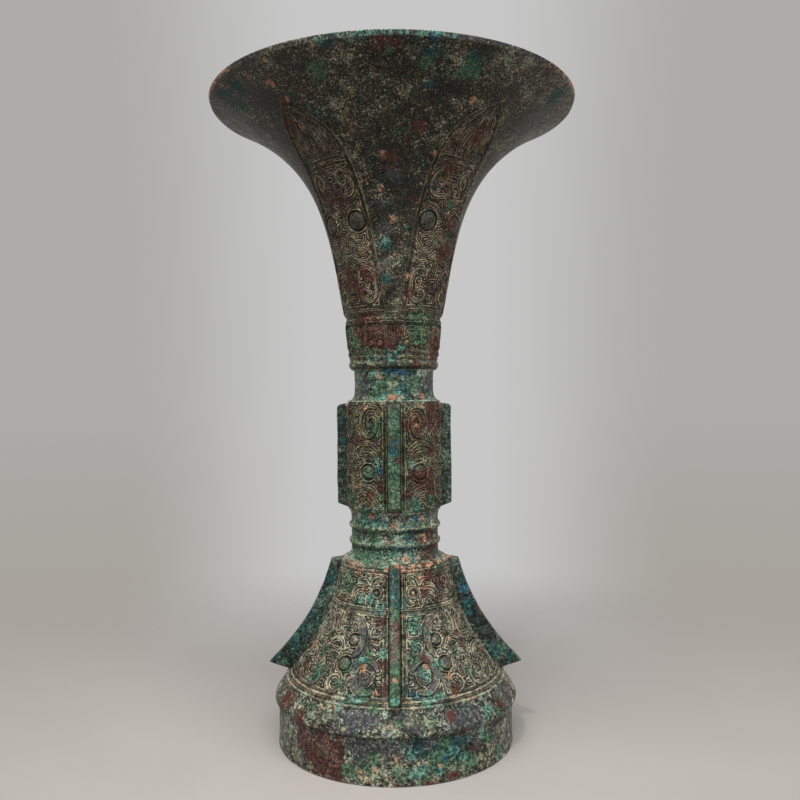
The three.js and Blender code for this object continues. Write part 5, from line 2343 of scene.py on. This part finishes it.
@dataclass
class Studio:
    """The pale floor, the soft light and the camera.

    Attributes:
        floor_reach: Distance from the beaker at which the floor has faded out.
        floor_full: Distance up to which it is whole.
        camera_place: The camera's place.
        focal: The lens in millimetres, for a sensor 36 mm wide.
        roll: How far the camera leans.
        fill: Strength of the even light.
    """

    floor_reach: float = 420.0
    floor_full: float = 70.0
    camera_place: tuple[float, float, float] = (2.9, -396.0, 160.2)
    focal: float = 37.08
    roll: float = 0.36
    fill: float = 0.29

    def floor(self) -> None:
        """Lays a round floor that fades out behind the beaker."""
        rings = np.linspace(0.05, self.floor_reach, 9)
        angles = np.arange(96) * 360 / 96
        points = turned_place(rings[:, None], angles[None, :], np.full((len(rings), 1), -0.05))
        faces = tube_faces(len(rings), len(angles))
        mesh = bpy.data.meshes.new("studio_floor")
        mesh.from_pydata((points * MM).reshape(-1, 3).tolist(), [], faces.tolist())
        mesh.materials.append(self.floor_finish())
        floor = bpy.data.objects.new("studio_floor", mesh)
        bpy.context.scene.collection.objects.link(floor)

    def floor_finish(self) -> bpy.types.Material:
        """Makes the floor's pale matt finish.

        Returns:
            The material.
        """
        p = Paint("studio_floor")
        pale = p.blend(p.step(p.noise(120, 1.0, 2), 0.35, 0.65), tone(175, 169, 164), tone(179, 173, 168))
        matt = p.node("ShaderNodeBsdfDiffuse")
        p.feed(matt.inputs["Color"], pale)
        clear = p.node("ShaderNodeBsdfTransparent")
        reach = p.node("ShaderNodeVectorMath", operation="LENGTH")
        p.feed(reach.inputs[0], p.spot)
        fade = p.step(reach.outputs["Value"], self.floor_full * MM, self.floor_reach * MM)
        both = p.node("ShaderNodeMixShader")
        p.feed(both.inputs[0], fade)
        p.feed(both.inputs[1], matt.outputs[0])
        p.feed(both.inputs[2], clear.outputs[0])
        end = p.node("ShaderNodeOutputMaterial")
        p.feed(end.inputs["Surface"], both.outputs[0])
        return p.material

    def world(self) -> None:
        """Sets the even light from all round, and the grey wall that the camera sees, with a painted glow
        of light in its middle.
        """
        world = bpy.data.worlds.new("studio")
        bpy.context.scene.world = world
        p = Paint(world=world)
        light = p.node("ShaderNodeBackground")
        light.inputs["Color"].default_value = (0.97, 0.985, 1.0, 1)
        light.inputs["Strength"].default_value = self.fill
        apart = p.node("ShaderNodeSeparateXYZ")
        p.feed(apart.inputs[0], p.node("ShaderNodeTexCoord").outputs["Generated"])
        level = p.step(apart.outputs["Z"], -0.22, 0.05)
        wall = p.blend(level, tone(168, 163, 157), tone(173, 172, 170))
        # A painted glow of light on the wall straight ahead, brighter in the middle.
        painted_wall_glow = p.step(p.sums("ABSOLUTE", apart.outputs["X"]), 0.32, 0.08)
        seen = p.node("ShaderNodeBackground")
        p.feed(seen.inputs["Color"], p.blend(painted_wall_glow, wall, tone(199, 199, 199)))
        rays = p.node("ShaderNodeLightPath")
        glossy = p.sums("MAXIMUM", rays.outputs["Is Glossy Ray"], rays.outputs["Is Transmission Ray"])
        mix = p.node("ShaderNodeMixShader")
        p.feed(mix.inputs[0], p.sums("MAXIMUM", rays.outputs["Is Camera Ray"], glossy))
        p.feed(mix.inputs[1], light.outputs[0])
        p.feed(mix.inputs[2], seen.outputs[0])
        p.feed(p.node("ShaderNodeOutputWorld").inputs["Surface"], mix.outputs[0])

    def lamp(self, name: str, place: tuple[float, float, float], size: float, watts: float) -> None:
        """Hangs one soft lamp that points to the middle of the beaker.

        Args:
            name: The lamp's name.
            place: Its place.
            size: Its size.
            watts: Its power.
        """
        data = bpy.data.lights.new(name, "AREA")
        data.shape = "DISK"
        data.size = size * MM
        data.energy = watts
        lamp = bpy.data.objects.new(name, data)
        lamp.location = Vector(place) * MM
        aim = Vector((0, 0, 160 * MM)) - lamp.location
        lamp.rotation_euler = aim.to_track_quat("-Z", "Y").to_euler()
        bpy.context.scene.collection.objects.link(lamp)

    def camera(self) -> None:
        """Sets the camera at the photograph's place."""
        data = bpy.data.cameras.new("front_camera")
        data.lens = self.focal
        data.sensor_width = 36.0
        data.clip_start = 0.01
        data.clip_end = 20.0
        camera = bpy.data.objects.new("front_camera", data)
        camera.location = Vector(self.camera_place) * MM
        camera.rotation_euler = (math.radians(90), math.radians(self.roll), 0)
        bpy.context.scene.collection.objects.link(camera)
        bpy.context.scene.camera = camera

    def build(self) -> None:
        """Sets up the floor, the light and the camera."""
        self.floor()
        self.world()
        self.lamp("key_lamp", (-70, -560, 1060), 1150, 14.0)
        self.lamp("spark_lamp", (-190, -600, 820), 90, 2.1)
        self.lamp("side_lamp", (600, -600, 420), 420, 2.0)
        self.camera()
        bpy.context.scene.view_settings.view_transform = "Standard"


FINISHES: dict[str, bpy.types.Material] = {}


def mix_finishes() -> None:
    """Makes each finish once, for all the pieces that share it."""
    for finish in (TRUMPET_FINISH, DRUM_FINISH, NECK_FINISH, SKIRT_FINISH, FOOT_FINISH,
                   FLANGE_FINISH, LIT_FRONT_FLANGE_FINISH, INNER_FINISH, SPACER_FINISH):
        FINISHES[finish.name] = finish.material()


def main() -> None:
    """Builds the castings from the rim down, then the flanges, spacers and studio."""
    mix_finishes()
    TrumpetMouth("trumpet_mouth", TRUMPET_FINISH).build()
    CollarBand("collar_band", DRUM_FINISH).build()
    UpperNeck("upper_neck", NECK_FINISH).build()
    Drum("drum", DRUM_FINISH, groove_foot=SEAMS.drum + 0.3, groove_top=SEAMS.upper_neck - 0.4).build()
    CupFloor("cup_floor", INNER_FINISH).build("dark_bronze")
    LowerNeck("lower_neck", NECK_FINISH).build()
    FootSkirt("foot_skirt", SKIRT_FINISH, groove_foot=SEAMS.skirt + 0.5,
              groove_top=SEAMS.lower_neck - 0.2).build()
    FootShoulder("foot_shoulder", FOOT_FINISH).build()
    FootRing("foot_ring", FOOT_FINISH).build()
    for turn, side in enumerate(("front", "right", "back", "left")):
        DrumFlange().build(side, 90 * turn)
        FootFlange().build(side, 90 * turn)
        CoreSpacer(side, SPACER_ANGLE + 90 * turn).build()
    Studio().build()


if __name__ == "__main__":
    main()
